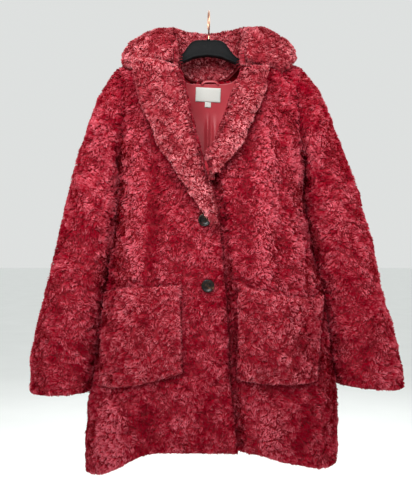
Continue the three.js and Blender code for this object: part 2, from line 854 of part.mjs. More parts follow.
const coat = new THREE.Group();
coat.add(
  named("back", wallGeometry(back, backSkin.inner, false), furFinish),
  frontPanel("front_right", -1, (z) => read(rightFrontEdge, "height", "x", z), noLift, rightHemFall),
  frontPanel("front_left", 1, leftFrontEdgeX, underlapLift, leftHemFall),
  sleeve("sleeve_right", -1, rightSleeve),
  sleeve("sleeve_left", 1, leftSleeve),
  collar(),
  lapel("lapel_right", rightLapel, noLift, liftBelow(rightLapelLift)),
  lapel("lapel_left", leftLapel, underlapLift, liftBelow(leftLapelLift)),
  pocket("pocket_right", rightPocket, noLift),
  pocket("pocket_left", leftPocket, (x, z) => leftPocketSink * underlapLift(x, z)),
  liningPanel(back, backSkin.normals),
  flatPatch("neck_label", labelSize, labelSize.centreX, labelSize.top, labelGap, labelFinish),
  hangingLoop(),
  hanger(),
  hook(),
);
const tabTop = labelSize.top - labelSize.height - sizeTab.drop;
coat.add(flatPatch("size_tab", sizeTab, sizeTab.centreX, tabTop, tabGap, labelFinish));
for (const [name, place] of Object.entries(buttonCentres)) coat.add(button(name, place));
coat.traverse((piece) => {
  if (piece.isMesh) welded(piece);
});

export default coat;
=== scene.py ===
# Looks of a faux fur coat on a moulded hanger.
# Blender works in metres, and the tables are in millimetres.
# Right and left are the wearer's. The front faces -Y, and +X is the viewer's right.
import math
from types import SimpleNamespace

import bpy
import numpy as np
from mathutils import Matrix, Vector, kdtree
from mathutils.bvhtree import BVHTree


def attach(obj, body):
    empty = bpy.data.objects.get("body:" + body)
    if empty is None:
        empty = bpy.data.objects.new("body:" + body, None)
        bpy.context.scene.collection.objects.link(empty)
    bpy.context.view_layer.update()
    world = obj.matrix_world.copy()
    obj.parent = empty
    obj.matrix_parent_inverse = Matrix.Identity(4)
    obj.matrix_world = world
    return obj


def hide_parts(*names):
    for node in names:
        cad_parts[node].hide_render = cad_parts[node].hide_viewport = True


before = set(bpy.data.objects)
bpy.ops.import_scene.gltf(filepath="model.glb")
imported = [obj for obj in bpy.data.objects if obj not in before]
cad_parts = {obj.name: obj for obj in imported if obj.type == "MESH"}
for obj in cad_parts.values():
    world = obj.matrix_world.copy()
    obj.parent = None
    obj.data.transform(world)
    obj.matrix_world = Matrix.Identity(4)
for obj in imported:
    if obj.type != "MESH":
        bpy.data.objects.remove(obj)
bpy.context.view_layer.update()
MM = 0.001

# Cloth sizes: those of the solids, but for the collar's edge, the left hem, the back's hem by the
# right seam, the sleeves' overlap and the width of the step under the right front's edge

FUR_WALL = 11.0
PILE = 8.5
SHELL_DEPTH = 7.8  # from the tips to the dense underfur
COLLAR_WALL = 14.0
SEAM_HALF = 0.15
SECTION_POWER = 2.4
NECK_HALF = 80.0
SHOULDER_HALF = 186.0
SHOULDER_TOP = -88.0
SHOULDER_SLOPE = 0.25
SHOULDER_ROUNDING = 70.0
BACK_NECK_DROP = 44.0
BACK_NECK_SQUARENESS = 5
UNDERARM = -330.0
UNDERARM_SHARE = 0.6
FRONT_HEM = -880.0
BACK_HEM = -912.0
RIGHT_SIDE_HEM = -937.0
LEFT_SIDE_HEM = -921.0
RIGHT_HEM_FALL = (0.47, 0.52)
LEFT_HEM_FALL = (0.29, 0.64)
UNDERLAP = 78.0
UNDERLAP_DIP = 18.0
UNDERLAP_RAMP = 18.0
SLEEVE_OVERLAP = 9.0  # the pile of sleeve and coat mingles where they touch
EDGE_ROUND = 9.0  # radius over which the pile turns round a free edge
EDGE_DROP = 3.5  # how far its surface runs down outside the edge
EDGE_CROWDING = 1.35  # how much closer the steps of a grid lie there
LUMPS = ((1.6, 30, 31), (0.9, 13, 32))  # in the pile's surface: height, width and seed
LUMP_SINK = 0.8
SOLID_ROWS = 21  # of a front, which the fall of its hem counts in
HEM_FALL_ROWS = 8
ARMHOLE_OUT = 0.8  # the sleeve's seam outside the armhole's
SLEEVE_POWER = 0.85
COLLAR_POWER = 0.75
SLOPE_STEP = 4


def table(names, *rows):
    return {name: np.array([row[i] for row in rows], float) for i, name in enumerate(names.split())}


TORSO = table(
    "height centre half front back",
    (-960, 4, 256, 92, 90),
    (-862, 6, 258, 96, 94),
    (-750, 10, 250, 101, 97),
    (-648, 11, 235, 105, 99),
    (-566, 12, 223, 107, 100),
    (-487, 6, 206, 108, 100),
    (-385, 6, 192, 108, 99),
    (-330, 5, 194, 106, 97),
    (-260, 4, 200, 98, 90),
    (-200, 3, 205, 88, 80),
    (-130, 2, 205, 73, 58),
    (-60, 2, 205, 64, 46),
)
ARMHOLE = table(
    "height distance",
    (-330, 194), (-310, 189), (-270, 180), (-217, 175), (-160, 178), (-117, 186), (-80, 196),
)
RIGHT_EDGE = table(
    "height x",
    (-880, 55), (-846, 54), (-737, 42), (-612, 37), (-492, 26), (-436, 22), (-401, 17),
    (-346, 3), (-282, -17), (-221, -32), (-167, -43), (-134, -53), (-110, -66), (-88, -80),
)
LEFT_ROLL = table(
    "height x",
    (-436, -56), (-306, -3), (-226, 27), (-178, 43), (-143, 58), (-112, 67), (-88, 80),
)

# Folds: where each starts and ends, half its width and its height
FRONT_FOLDS = (
    (-132, -170, -150, -600, 22, 7),
    (-103, -200, -116, -560, 15, -6),
    (112, -160, 106, -580, 22, 7),
    (78, -220, 70, -560, 16, -5),
    (162, -190, 178, -540, 17, 4),
    (140, -200, 142, -520, 12, -4),
    (-178, -780, -190, -980, 26, 6),
    (-120, -770, -128, -980, 20, -5),
    (120, -770, 130, -980, 24, 6),
    (178, -780, 186, -980, 18, -5),
)
BACK_FOLDS = (
    (-92, -230, -118, -980, 30, 8),
    (-30, -330, -42, -980, 24, -5),
    (36, -300, 30, -980, 28, 7),
    (98, -240, 124, -980, 26, -5),
    (150, -260, 186, -980, 26, 6),
)

RIGHT_SLEEVE = table(
    "outer_x outer_z inner_z depth",
    (-205, -139, -340, 66), (-227, -177, -352, 66), (-250, -243, -376, 65), (-272, -312, -412, 64),
    (-293, -395, -466, 62), (-313, -486, -528, 60), (-334, -568, -594, 58), (-352, -640, -656, 56),
    (-364, -712, -716, 55), (-366, -778, -775, 56),
)
LEFT_SLEEVE = table(
    "outer_x outer_z inner_z depth",
    (207, -137, -340, 66), (234, -180, -352, 66), (256, -240, -376, 65), (284, -306, -412, 64),
    (310, -382, -466, 62), (336, -478, -528, 60), (355, -572, -594, 58), (378, -648, -652, 57),
    (392, -708, -706, 57), (399, -768, -758, 60),
)
# Creases across a sleeve: place along it, place around it in degrees, sizes and depth
SLEEVE_CREASES = (
    (0.3, 60, 0.04, 60, 5),
    (0.42, 110, 0.05, 50, -4),
    (0.55, 50, 0.045, 55, 5),
    (0.68, 280, 0.05, 60, 5),
    (0.8, 90, 0.05, 60, -4),
    (0.45, 250, 0.05, 60, 4),
)
SLEEVE_RINGS = 20  # steps between the solid's rings, which the places along a sleeve count in
SLEEVE_SETTLING = ((0, 1, 2, 3), (0, 0.55, 0.9, 1))  # ring, and share of its own form
SLEEVE_TUCK = (5, 9.0)  # its first ring inside the armhole: towards the middle and into the coat

COLLAR = table(
    "neck_x neck_y neck_z heading reach rise edge_z",
    (-57, -76, -131, 164, 100, 15, -128),
    (-60, -64, -118, 166, 106, 46, -126),
    (-68, -42, -100, 170, 106, 62, -119),
    (-79, -6, -85.5, 180, 97, 65, -111),
    (-60, 31, -101, 140, 82, 90, -114),
    (-38, 42, -125, 116, 66, 107, -130),
    (0, 46, -130, 90, 58, 111, -142),
    (38, 42, -125, 64, 66, 109, -131),
    (60, 31, -99, 40, 82, 90, -115),
    (79, -6, -85.5, 0, 97, 65, -105),
    (69, -42, -100, 6, 105, 62, -114),
    (61, -66, -122, 12, 104, 48, -128),
    (60, -76, -130, 12, 90, 15, -137),
)
COLLAR_SKEW = 2.1
RIGHT_LAPEL = table(
    "roll_x roll_z edge_x edge_z",
    (19, -439, 2, -440), (17, -404, -23, -408), (2, -348, -56, -354), (-18, -283, -96, -291),
    (-33, -221, -127, -229), (-44, -167, -144, -167), (-56, -130, -152, -107),
)
LEFT_LAPEL = table(
    "roll_x roll_z edge_x edge_z",
    (6, -346, 13, -345), (-3, -310, 42, -318), (12, -267, 68, -284), (27, -226, 93, -233),
    (43, -179, 110, -190), (65, -128, 118, -127),
)
LAPEL_THICK = 17.0
LAPEL_THIN = 10
LAPEL_FULL_SPAN = 60  # width from which a lapel has its full thickness
LAPEL_GAP = 1.6
RIGHT_LAPEL_LIFT = dict(height=6.5, start=-390, ramp=30)
LEFT_LAPEL_LIFT = dict(height=6.5, start=-260, ramp=45)
LAPEL_TOP = dict(lift=12, start=-160, height=35, straight=-138)
RIGHT_POCKET = dict(inner=(-51, -50), outer=(-203, -214), top=(-553, -570), bottom=(-722, -752),
                    stand_off=8.5, mouth_sag=-3, bottom_sag=14, shade=(10.0, 0.32))
LEFT_POCKET = dict(inner=(51, 47), outer=(221, 209), top=(-548, -572), bottom=(-733, -743),
                   stand_off=20, mouth_sag=16, bottom_sag=10, shade=(15.0, 0.42))
POCKET_WALL = 10.0
POCKET_SHELL_BACK = 9.8  # from the tips to the cloth's inner face
POCKET_GAP = 0.9
LEFT_POCKET_SINK = 0.6

BUTTON_RADIUS = 12.5
BUTTON_THICK = 4.0
BUTTON_SUNK = 1.5  # the back of a button below the pile's tips
BUTTONS = {"button_top": (-8, -430), "button_lower": (-2, -555)}
EYE = dict(apart=2.1, radius=1.0, sunk=1.4)
THREAD = dict(radius=0.5, sunk=1.3, rise=0.7)
LABEL = dict(width=53.0, height=28.0, thick=0.9, x=-1.0, top=-143.5, turn=2.5)
SIZE_TAB = dict(width=13.0, height=10.0, thick=0.7, x=-1.5, top=-172.1, turn=2.5)
PATCH_SWELL = 0.5  # of a label's middle
LOOP = dict(half_span=18.0, rise=7.0, forward=0.3, width=5.0, flat=0.36, x=3.0, z=-138.0)
LABEL_GAP = 1.8
TAB_GAP = 1.4
LOOP_GAP = 2.6
LINING_DEPTH = FUR_WALL + 0.5
LINING_WALL = 1.5
LINING_LEAN = 1.06
LINING_SPAN = (0.26, 0.74)
LINING_HEIGHTS = (0.5, 0.995)
LINING_PLEAT = dict(top=-185, ramp=50, height=7)
LINING_PLEATS = ((-1, 5, 1), (14, 7, 0.6), (4, 3, -0.5))  # place, half width, share of height
LINING_RIPPLE = dict(top=-140, ramp=40, height=1.6, width=34, seed=41)
HANGER = table(
    "x top bottom depth",
    (0, -57, -90, 7), (27, -58.5, -94, 7.5), (39, -68, -99, 8), (50, -84, -103, 8.5),
    (64, -96, -108, 9), (90, -103.1, -116, 8), (125, -112, -127, 8), (160, -120.9, -138, 6.5),
    (176, -125, -141, 5.5), (183, -129, -138, 4),
)
HANGER_CENTRE = -2.0
WIRE_RADIUS = 1.6
HOOK_BEND = 22.0
HOOK_TURN = 3.0

# Colours, linear

# DEEP, the roots' colour, is a saturated red that paints the shade deep in the pile
DEEP = np.array((0.56, 0.0004, 0.018))
BODY = np.array((0.57, 0.003, 0.030))
BODY_TIP = np.array((0.74, 0.225, 0.280))
PALE = np.array((0.64, 0.048, 0.076))
PALE_TIP = np.array((0.84, 0.41, 0.44))


def pinker(colour, pale):
    return colour + (pale - colour) * 0.2


# Root, body and tip of the locks, and the share of light that a shut-in place keeps
BODY_TINT = (DEEP, BODY, BODY_TIP, 0.76)
PALE_TINT = (PALE * 0.85, PALE, PALE_TIP, 0.7)
POCKET_TINT = (DEEP, pinker(BODY, PALE), pinker(BODY_TIP, PALE_TIP), 0.76)

# Shade in the pile: rays that look for open sky, and what a raised piece does near its outline

SHADE_RAYS = 20
SHADE_SEED = 77
SHADE_STEP = 2
SHADE_START = 2.0
SHADE_REACH = 36.0
LAPEL_SHADE = (20.0, 0.45)  # how far from its outline it shades the pile, and how deeply
RIM = 7.0  # width of the painted highlight along that outline
RIM_LIFT = 6  # height of a fold that would be as light, which sets the strength of that painted highlight

# Numbers


def mix(a, b, share):
    return a + (b - a) * share


def smooth_step(value):
    t = np.clip(value, 0, 1)
    return t * t * (3 - 2 * t)


def bell(distance, spread):
    return np.exp(-((distance / spread) ** 2))


def smooth_through(keys, values, at):
    at = np.clip(np.asarray(at, float), keys[0], keys[-1])
    i = np.clip(np.searchsorted(keys, at, side="right") - 1, 0, len(keys) - 2)
    slope = np.empty(len(keys))
    slope[1:-1] = (values[2:] - values[:-2]) / (keys[2:] - keys[:-2])
    slope[0] = (values[1] - values[0]) / (keys[1] - keys[0])
    slope[-1] = (values[-1] - values[-2]) / (keys[-1] - keys[-2])
    span = keys[i + 1] - keys[i]
    t = (at - keys[i]) / span
    start = (1 + 2 * t) * (1 - t) ** 2 * values[i] + t * (1 - t) ** 2 * span * slope[i]
    end = t * t * (3 - 2 * t) * values[i + 1] + t * t * (t - 1) * span * slope[i + 1]
    return start + end


def read(source, name, height):
    return smooth_through(source["height"], source[name], height)


def read_along(source, fraction, *names):
    """The named values of a table, or all of them, at a fraction of the way down it."""
    last = len(next(iter(source.values()))) - 1
    places = np.arange(last + 1, dtype=float)
    return [smooth_through(places, source[name], fraction * last) for name in names or source]


def unit(vectors):
    return vectors / np.maximum(np.linalg.norm(vectors, axis=-1, keepdims=True), 1e-9)


def waves(points, scale, seed):
    """Smooth noise from -1 to 1 with features about as wide as scale."""
    count = 10
    rng = np.random.default_rng(seed)
    direction = unit(rng.normal(size=(count, 3)))
    pitch = rng.uniform(0.7, 1.4, count) * 2 * math.pi / (scale * 2)
    phase = rng.uniform(0, 2 * math.pi, count)
    total = np.zeros(points.shape[:-1])
    for k in range(count):
        total += np.sin(points @ direction[k] * pitch[k] + phase[k])
    return np.clip(total / math.sqrt(count) / 1.3, -1.2, 1.2)


def layered_waves(points, layers):
    """Noise of several sizes, each given as its height, width and seed."""
    return sum(height * waves(points, width, seed) for height, width, seed in layers)


# The coat's form


def shoulder_height(x):
    return SHOULDER_TOP - SHOULDER_SLOPE * (np.abs(x) - NECK_HALF)


def fold_lift(folds, x, z):
    lift = np.zeros(np.broadcast(x, z).shape)
    for x_top, z_top, x_end, z_end, spread, height in folds:
        down = (z_top - z) / (z_top - z_end)
        fade = smooth_step(down * 5) * smooth_step((1 - down) * 5 + 0.4)
        lift = lift + height * fade * bell(x - mix(x_top, x_end, down), spread)
    return lift


def torso_depth(side, x, z):
    across = np.clip(np.abs(x - read(TORSO, "centre", z)) / read(TORSO, "half", z), 0, 1)
    deepest = read(TORSO, "front" if side < 0 else "back", z)
    rounding = (1 - across**SECTION_POWER) ** (1 / SECTION_POWER)
    below = np.clip((shoulder_height(x) - z) / SHOULDER_ROUNDING, 0, 1)
    over = np.sqrt(1 - (1 - below) ** 2)
    folds = fold_lift(FRONT_FOLDS if side < 0 else BACK_FOLDS, x, z)
    folds = folds * smooth_step(rounding * 1.5 - 0.4)
    return side * (deepest * rounding * over + folds * over)


def side_x(side, z):
    return read(TORSO, "centre", z) + side * read(TORSO, "half", z)


def armhole_x(side, z):
    return read(TORSO, "centre", z) + side * read(ARMHOLE, "distance", z)


def underlap_lift(x, z):
    edge = read(RIGHT_EDGE, "x", z)
    return -UNDERLAP_DIP * smooth_step((edge + UNDERLAP_RAMP - x) / (UNDERLAP_RAMP - 2))


def left_pocket_lift(x, z):
    return LEFT_POCKET_SINK * underlap_lift(x, z)


def no_lift(x, z):
    return 0 * x


def edge_height(v, foot, top):
    low = mix(foot, UNDERARM, v / UNDERARM_SHARE)
    above = np.clip((v - UNDERARM_SHARE) / (1 - UNDERARM_SHARE), 0, 1)
    return np.where(v <= UNDERARM_SHARE, low, mix(UNDERARM, top, 1 - (1 - above) ** 1.5))


def around_section(x_from, x_to, z, share):
    centre = read(TORSO, "centre", z)
    half = read(TORSO, "half", z)
    start = np.arccos(np.clip((x_from - centre) / half, -1, 1))
    end = np.arccos(np.clip((x_to - centre) / half, -1, 1))
    return centre + half * np.cos(mix(start, end, share))


def side_edge(side, v):
    hem = RIGHT_SIDE_HEM if side < 0 else LEFT_SIDE_HEM
    z = edge_height(v, hem, shoulder_height(SHOULDER_HALF))
    return np.where(z < UNDERARM, side_x(side, z), armhole_x(side, z)), z


def front_surface(side, edge_x, lift, hem_fall, u, v):
    z_start = edge_height(v, FRONT_HEM, SHOULDER_TOP)
    x_start = edge_x(z_start)
    x_end, z_end = side_edge(side, v)
    x = around_section(x_start, x_end, mix(z_start, z_end, u), u)
    across = np.clip((x - x_start) / (x_end - x_start), 0, 1)
    fall = smooth_step((across - hem_fall[0]) / hem_fall[1])
    z = mix(z_start, z_end, mix(fall, across, smooth_step(v * SOLID_ROWS / HEM_FALL_ROWS)))
    y = np.minimum(torso_depth(-1, x, z) - lift(x, z), -SEAM_HALF)
    return np.stack([x, y, z], -1)


def right_edge_x(z):
    return read(RIGHT_EDGE, "x", z)


def left_edge_x(z):
    roll = read(LEFT_ROLL, "x", z)
    return np.where(z > LEFT_ROLL["height"][0], roll, right_edge_x(z) - UNDERLAP)


def back_top(x):
    out = np.clip(np.abs(x) / NECK_HALF, 0, 1)
    neck = SHOULDER_TOP - BACK_NECK_DROP * (1 - out**BACK_NECK_SQUARENESS)
    return np.where(np.abs(x) < NECK_HALF, neck, shoulder_height(x))


def back_surface(u, v):
    x_left, z_left = side_edge(-1, v)
    x_right, z_right = side_edge(1, v)
    x = around_section(x_left, x_right, mix(z_left, z_right, u), u)
    across = np.where(x < 0, x / x_left, x / x_right)
    foot = mix(BACK_HEM, np.where(x < 0, RIGHT_SIDE_HEM, LEFT_SIDE_HEM), across**3)
    z = edge_height(v, foot, back_top(x))
    y = np.maximum(torso_depth(1, x, z), SEAM_HALF)
    return np.stack([x, y, z], -1)


def crease_depth(along, turn):
    depth = np.zeros(along.shape)
    degrees = np.degrees(turn)
    for place, around, length, spread, height in SLEEVE_CREASES:
        apart = np.abs((degrees - around + 540) % 360 - 180)
        depth = depth + height * bell(along - place, length) * bell(apart, spread)
    return depth


def armhole_point(side, turn):
    z = mix(shoulder_height(SHOULDER_HALF), UNDERARM, (1 - np.cos(turn)) / 2)
    x = armhole_x(side, z)
    y = np.where(np.sin(turn) > 0, torso_depth(-1, x, z), torso_depth(1, x, z))
    return np.stack([x + side * ARMHOLE_OUT, y, z], -1)


def sleeve_surface(side, source, u, v):
    """u runs round the sleeve from its outer side by the front, and v from armhole to cuff."""
    turn = 2 * math.pi * u
    ring = v * SLEEVE_RINGS
    fraction = np.clip((ring - 1) / (SLEEVE_RINGS - 1), 0, 1)
    outer_x, outer_z, inner_z, depth = read_along(source, fraction)
    inner_x = side_x(side, inner_z) - side * SLEEVE_OVERLAP
    settled = np.interp(ring, *SLEEVE_SETTLING)[..., None]
    sine = np.sin(turn)
    reach = 1 - crease_depth(v, turn) * np.abs(sine) / depth
    x = (outer_x + inner_x) / 2 + (outer_x - inner_x) / 2 * np.cos(turn)
    z = (outer_z + inner_z) / 2 + (outer_z - inner_z) / 2 * np.cos(turn)
    y = -depth * np.sign(sine) * np.abs(sine) ** SLEEVE_POWER * reach
    return mix(armhole_point(side, turn), np.stack([x, y, z], -1), settled)


def collar_surface(u, v, inset=0.0):
    """u runs over the arch from the neck seam to the fall's edge, and v from right to left."""
    neck_x, neck_y, neck_z, heading, reach, rise, edge_z = read_along(COLLAR, v)
    heading = np.radians(heading)
    turn = math.pi * u
    out = inset + (reach - 2 * inset) * ((1 - np.cos(turn)) / 2) ** COLLAR_SKEW
    over = np.sin(np.clip(turn, 0, math.pi)) ** COLLAR_POWER
    height = mix(neck_z, edge_z, u) + (rise - inset) * over
    return np.stack([neck_x + out * np.cos(heading), neck_y + out * np.sin(heading), height], -1)


def lapel_base(source, lift, base_lift, u, v):
    roll_x, roll_z, edge_x, edge_z = read_along(source, v)
    x, z = mix(roll_x, edge_x, u), mix(roll_z, edge_z, u)
    front = torso_depth(-1, x, np.minimum(z, LAPEL_TOP["straight"])) - lift(x, z)
    over = base_lift["height"] * smooth_step((base_lift["start"] - z) / base_lift["ramp"])
    clear = LAPEL_TOP["lift"] * smooth_step((z - LAPEL_TOP["start"]) / LAPEL_TOP["height"])
    return np.stack([x, front - LAPEL_GAP - over - clear, z], -1)


def pocket_base(shape, lift, u, v):
    """u runs from the inner edge to the outer one, and v from the mouth down."""
    middle = np.sin(math.pi * u)
    top = mix(*shape["top"], u) - shape["mouth_sag"] * middle
    bottom = mix(*shape["bottom"], u) - shape["bottom_sag"] * middle
    z = mix(top, bottom, v)
    x = around_section(mix(*shape["inner"], v), mix(*shape["outer"], v), z, u)
    rise = torso_depth(-1, x + SLOPE_STEP, z) - torso_depth(-1, x - SLOPE_STEP, z)
    slope = rise / (2 * SLOPE_STEP)
    away = unit(np.stack([slope, -np.ones_like(slope), 0 * slope], -1))
    hollow = shape["stand_off"] * np.clip(middle, 0, 1) ** 1.2 * (1 - v**3)
    base = np.stack([x, torso_depth(-1, x, z) - lift(x, z), z], -1)
    return base + away * (POCKET_GAP + hollow)[..., None], away


# Grids


def steps(count, round_start=False, round_end=False):
    """Shares from one side of a surface to the other, closer together at a rounded edge."""
    even = np.linspace(0, 1, count)
    if round_start and round_end:
        return (1 - np.cos(math.pi * even)) / 2 * 0.5 + even * 0.5
    if round_start:
        return even**EDGE_CROWDING
    if round_end:
        return 1 - (1 - even) ** EDGE_CROWDING
    return even


def grid_normals(grid, closed, outward):
    if closed:
        across = np.roll(grid, -1, 1) - np.roll(grid, 1, 1)
    else:
        across = np.gradient(grid, axis=1)
    normals = unit(np.cross(across, np.gradient(grid, axis=0)))
    return normals * np.sign(np.sum(normals * outward, -1, keepdims=True).mean())


def arc_lengths(points, axis=0):
    step = np.linalg.norm(np.diff(points, axis=axis), axis=-1)
    start = np.zeros_like(np.take(step, [0], axis))
    return np.concatenate([start, np.cumsum(step, axis=axis)], axis=axis)


def rounded_edges(grid, normals, free):
    """Turns the surface inwards along its free edges and carries it down their sides."""
    u_length, v_length = arc_lengths(grid, 1), arc_lengths(grid, 0)
    from_edge = dict(
        u0=u_length, u1=u_length[:, -1:] - u_length, v0=v_length, v1=v_length[-1:] - v_length,
    )
    distance = np.full(grid.shape[:2], EDGE_ROUND)
    for side in free:
        distance = np.minimum(distance, from_edge[side])
    share = distance / EDGE_ROUND
    sink = EDGE_ROUND * (1 - np.sqrt(np.clip(1 - (1 - share) ** 2, 0, 1)))
    lumps = layered_waves(grid, LUMPS) - LUMP_SINK
    grid = grid - normals * (sink - lumps * np.clip(share, 0.3, 1))[..., None]
    for side, axis, edge in (("u0", 1, 0), ("u1", 1, -1), ("v0", 0, 0), ("v1", 0, -1)):
        if side in free:
            line, away = np.take(grid, [edge], axis), np.take(normals, [edge], axis)
            band = [line - away * EDGE_DROP]
            grid = np.concatenate(band + [grid] if edge == 0 else [grid] + band, axis)
            normals = np.concatenate([away, normals] if edge == 0 else [normals, away], axis)
    return grid, normals


def trimmed(grid, free):
    """Leaves out the outermost steps along the free edges."""
    rows = slice(1 if "v0" in free else 0, -1 if "v1" in free else None)
    columns = slice(1 if "u0" in free else 0, -1 if "u1" in free else None)
    return grid[rows, columns]


def cut_size(grid, closed):
    """Width, length and area of the cloth that a grid stands for, in metres."""
    if closed:
        grid = np.concatenate([grid, grid[:, :1]], 1)
    width = float(arc_lengths(grid, 1)[:, -1].max()) * MM
    length = float(arc_lengths(grid, 0)[-1].max()) * MM
    diagonals = grid[1:, 1:] - grid[:-1, :-1], grid[1:, :-1] - grid[:-1, 1:]
    area = float(np.linalg.norm(np.cross(*diagonals), axis=-1).sum() / 2) * MM * MM
    return (width, length), min(area, width * length)


# Meshes


def show(name, data):
    piece = bpy.data.objects.new(name, data)
    bpy.context.scene.collection.objects.link(piece)
    return piece


def new_mesh(name, points, faces, materials, face_materials=None):
    mesh = bpy.data.meshes.new(name)
    mesh.from_pydata((np.asarray(points) * MM).tolist(), [], faces)
    for material in materials:
        mesh.materials.append(material)
    if face_materials is not None:
        mesh.polygons.foreach_set("material_index", face_materials)
    mesh.shade_smooth()
    mesh.update()
    return show(name, mesh)


def grid_faces(rows, columns, closed, first=0):
    for i in range(rows - 1):
        for j in range(columns if closed else columns - 1):
            k = (j + 1) % columns
            low, high = first + i * columns, first + (i + 1) * columns
            yield low + j, low + k, high + k, high + j


def wall_piece(name, outer, inner, closed, materials):
    """A closed wall between two grids; its inner face takes the last material."""
    rows, columns = outer.shape[:2]
    count = rows * columns
    points = np.concatenate([outer.reshape(-1, 3), inner.reshape(-1, 3)])
    faces, kinds = [], []

    def at(i, j):
        return i * columns + j % columns

    def add_rim(a, b, flip):
        faces.append((b, a, count + a, count + b) if flip else (a, b, count + b, count + a))
        kinds.append(0)

    for a, b, c, d in grid_faces(rows, columns, closed):
        faces += [(a, b, c, d), (count + a, count + d, count + c, count + b)]
        kinds += [0, len(materials) - 1]
    for j in range(columns if closed else columns - 1):
        add_rim(at(0, j), at(0, j + 1), True)
        add_rim(at(rows - 1, j), at(rows - 1, j + 1), False)
    if not closed:
        for i in range(rows - 1):
            add_rim(at(i, 0), at(i + 1, 0), False)
            add_rim(at(i, columns - 1), at(i + 1, columns - 1), True)
    a, b, c = (points[k] for k in faces[0][:3])
    facing = np.cross(b - a, c - a) @ (outer[0, 0] - inner[0, 0])
    if facing < 0:
        faces = [face[::-1] for face in faces]
    return new_mesh(name, points, faces, materials, kinds)


def dress(piece, slot, *nodes):
    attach(piece, "root")
    if nodes:
        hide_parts(*nodes)
    return piece


def lay_sheet(piece, grid, closed, rests_on, **more):
    flat, area = cut_size(grid, closed)


# Materials


def new_material(name):
    material = bpy.data.materials.new(name)
    material.use_nodes = True
    nodes = material.node_tree.nodes
    shader = nodes["Principled BSDF"]
    return material, nodes, material.node_tree.links, shader


def add_noise(nodes, links, scale, detail=3.0, stretch=(1, 1, 1)):
    place = nodes.new("ShaderNodeTexCoord")
    mapping = nodes.new("ShaderNodeMapping")
    mapping.inputs["Scale"].default_value = stretch
    noise = nodes.new("ShaderNodeTexNoise")
    noise.inputs["Scale"].default_value = scale
    noise.inputs["Detail"].default_value = detail
    links.new(place.outputs["Object"], mapping.inputs["Vector"])
    links.new(mapping.outputs["Vector"], noise.inputs["Vector"])
    return noise.outputs["Fac"]


def add_ramp(nodes, links, source, *stops):
    ramp = nodes.new("ShaderNodeValToRGB")
    ramp.color_ramp.elements[0].position, ramp.color_ramp.elements[0].color = stops[0]
    ramp.color_ramp.elements[1].position, ramp.color_ramp.elements[1].color = stops[-1]
    for position, colour in stops[1:-1]:
        ramp.color_ramp.elements.new(position).color = colour
    links.new(source, ramp.inputs["Fac"])
    return ramp.outputs["Color"]


def add_bump(nodes, links, shader, source, strength, distance):
    bump = nodes.new("ShaderNodeBump")
    bump.inputs["Strength"].default_value = strength
    bump.inputs["Distance"].default_value = distance
    links.new(source, bump.inputs["Height"])
    links.new(bump.outputs["Normal"], shader.inputs["Normal"])


def fur_material():
    material, nodes, links, shader = new_material("fur_pile")
    colour = nodes.new("ShaderNodeAttribute")
    colour.attribute_name = "pile"
    links.new(colour.outputs["Color"], shader.inputs["Base Color"])
    shader.inputs["Roughness"].default_value = 0.9
    shader.inputs["Specular IOR Level"].default_value = 0.0
    through = nodes.new("ShaderNodeBsdfTranslucent")
    both = nodes.new("ShaderNodeMixShader")
    both.inputs["Fac"].default_value = 0.45
    links.new(colour.outputs["Color"], through.inputs["Color"])
    links.new(shader.outputs["BSDF"], both.inputs[1])
    links.new(through.outputs["BSDF"], both.inputs[2])
    links.new(both.outputs["Shader"], nodes["Material Output"].inputs["Surface"])
    return material


def mottled_material(name, noise, stops, roughness, values=None, bump=None, bump_noise=None):
    """A material whose colour follows a noise, which is given as its scale, detail and stretch."""
    material, nodes, links, shader = new_material(name)
    pattern = add_noise(nodes, links, *noise)
    links.new(add_ramp(nodes, links, pattern, *stops), shader.inputs["Base Color"])
    shader.inputs["Roughness"].default_value = roughness
    for socket, value in (values or {}).items():
        shader.inputs[socket].default_value = value
    if bump:
        height = add_noise(nodes, links, *bump_noise) if bump_noise else pattern
        add_bump(nodes, links, shader, height, *bump)
    return material


FUR = fur_material()
BACKING = mottled_material(
    "fur_backing", (160.0,), ((0.3, (0.20, 0.001, 0.009, 1)), (0.7, (0.28, 0.004, 0.016, 1))),
    0.95, bump=(0.6, 0.002),
)
LINING = mottled_material(
    "lining_satin", (18.0, 2.0, (1, 1, 0.35)),
    ((0.25, (0.36, 0.019, 0.031, 1)), (0.75, (0.49, 0.039, 0.056, 1))),
    0.42, {"Sheen Weight": 0.25}, bump=(0.15, 0.0004), bump_noise=(900.0, 2.0, (1, 1, 3)),
)
TAPE = mottled_material(
    "label_tape", (700.0, 2.0, (1, 1, 2.5)),
    ((0.3, (0.60, 0.61, 0.57, 1)), (0.7, (0.67, 0.68, 0.64, 1))),
    0.7, bump=(0.25, 0.0004),
)
HORN = mottled_material(
    "button_horn", (110.0, 4.0),
    (
        (0.42, (0.003, 0.002, 0.002, 1)), (0.58, (0.018, 0.008, 0.005, 1)),
        (0.72, (0.20, 0.085, 0.04, 1)),
    ),
    0.25, {"Specular IOR Level": 0.2},
)
PLASTIC = mottled_material(
    "hanger_plastic", (420.0, 3.0),
    ((0.3, (0.003, 0.0035, 0.004, 1)), (0.7, (0.006, 0.0065, 0.007, 1))),
    0.55, {"Specular IOR Level": 0.07}, bump=(0.12, 0.0004),
)
COPPER = mottled_material(
    "copper_wire", (260.0, 2.0, (1, 1, 0.2)),
    ((0.3, (0.62, 0.33, 0.21, 1)), (0.7, (0.78, 0.45, 0.31, 1))),
    0.28, {"Metallic": 1.0},
)

# Fur: tapered curved locks that lean in patches and gather in tufts

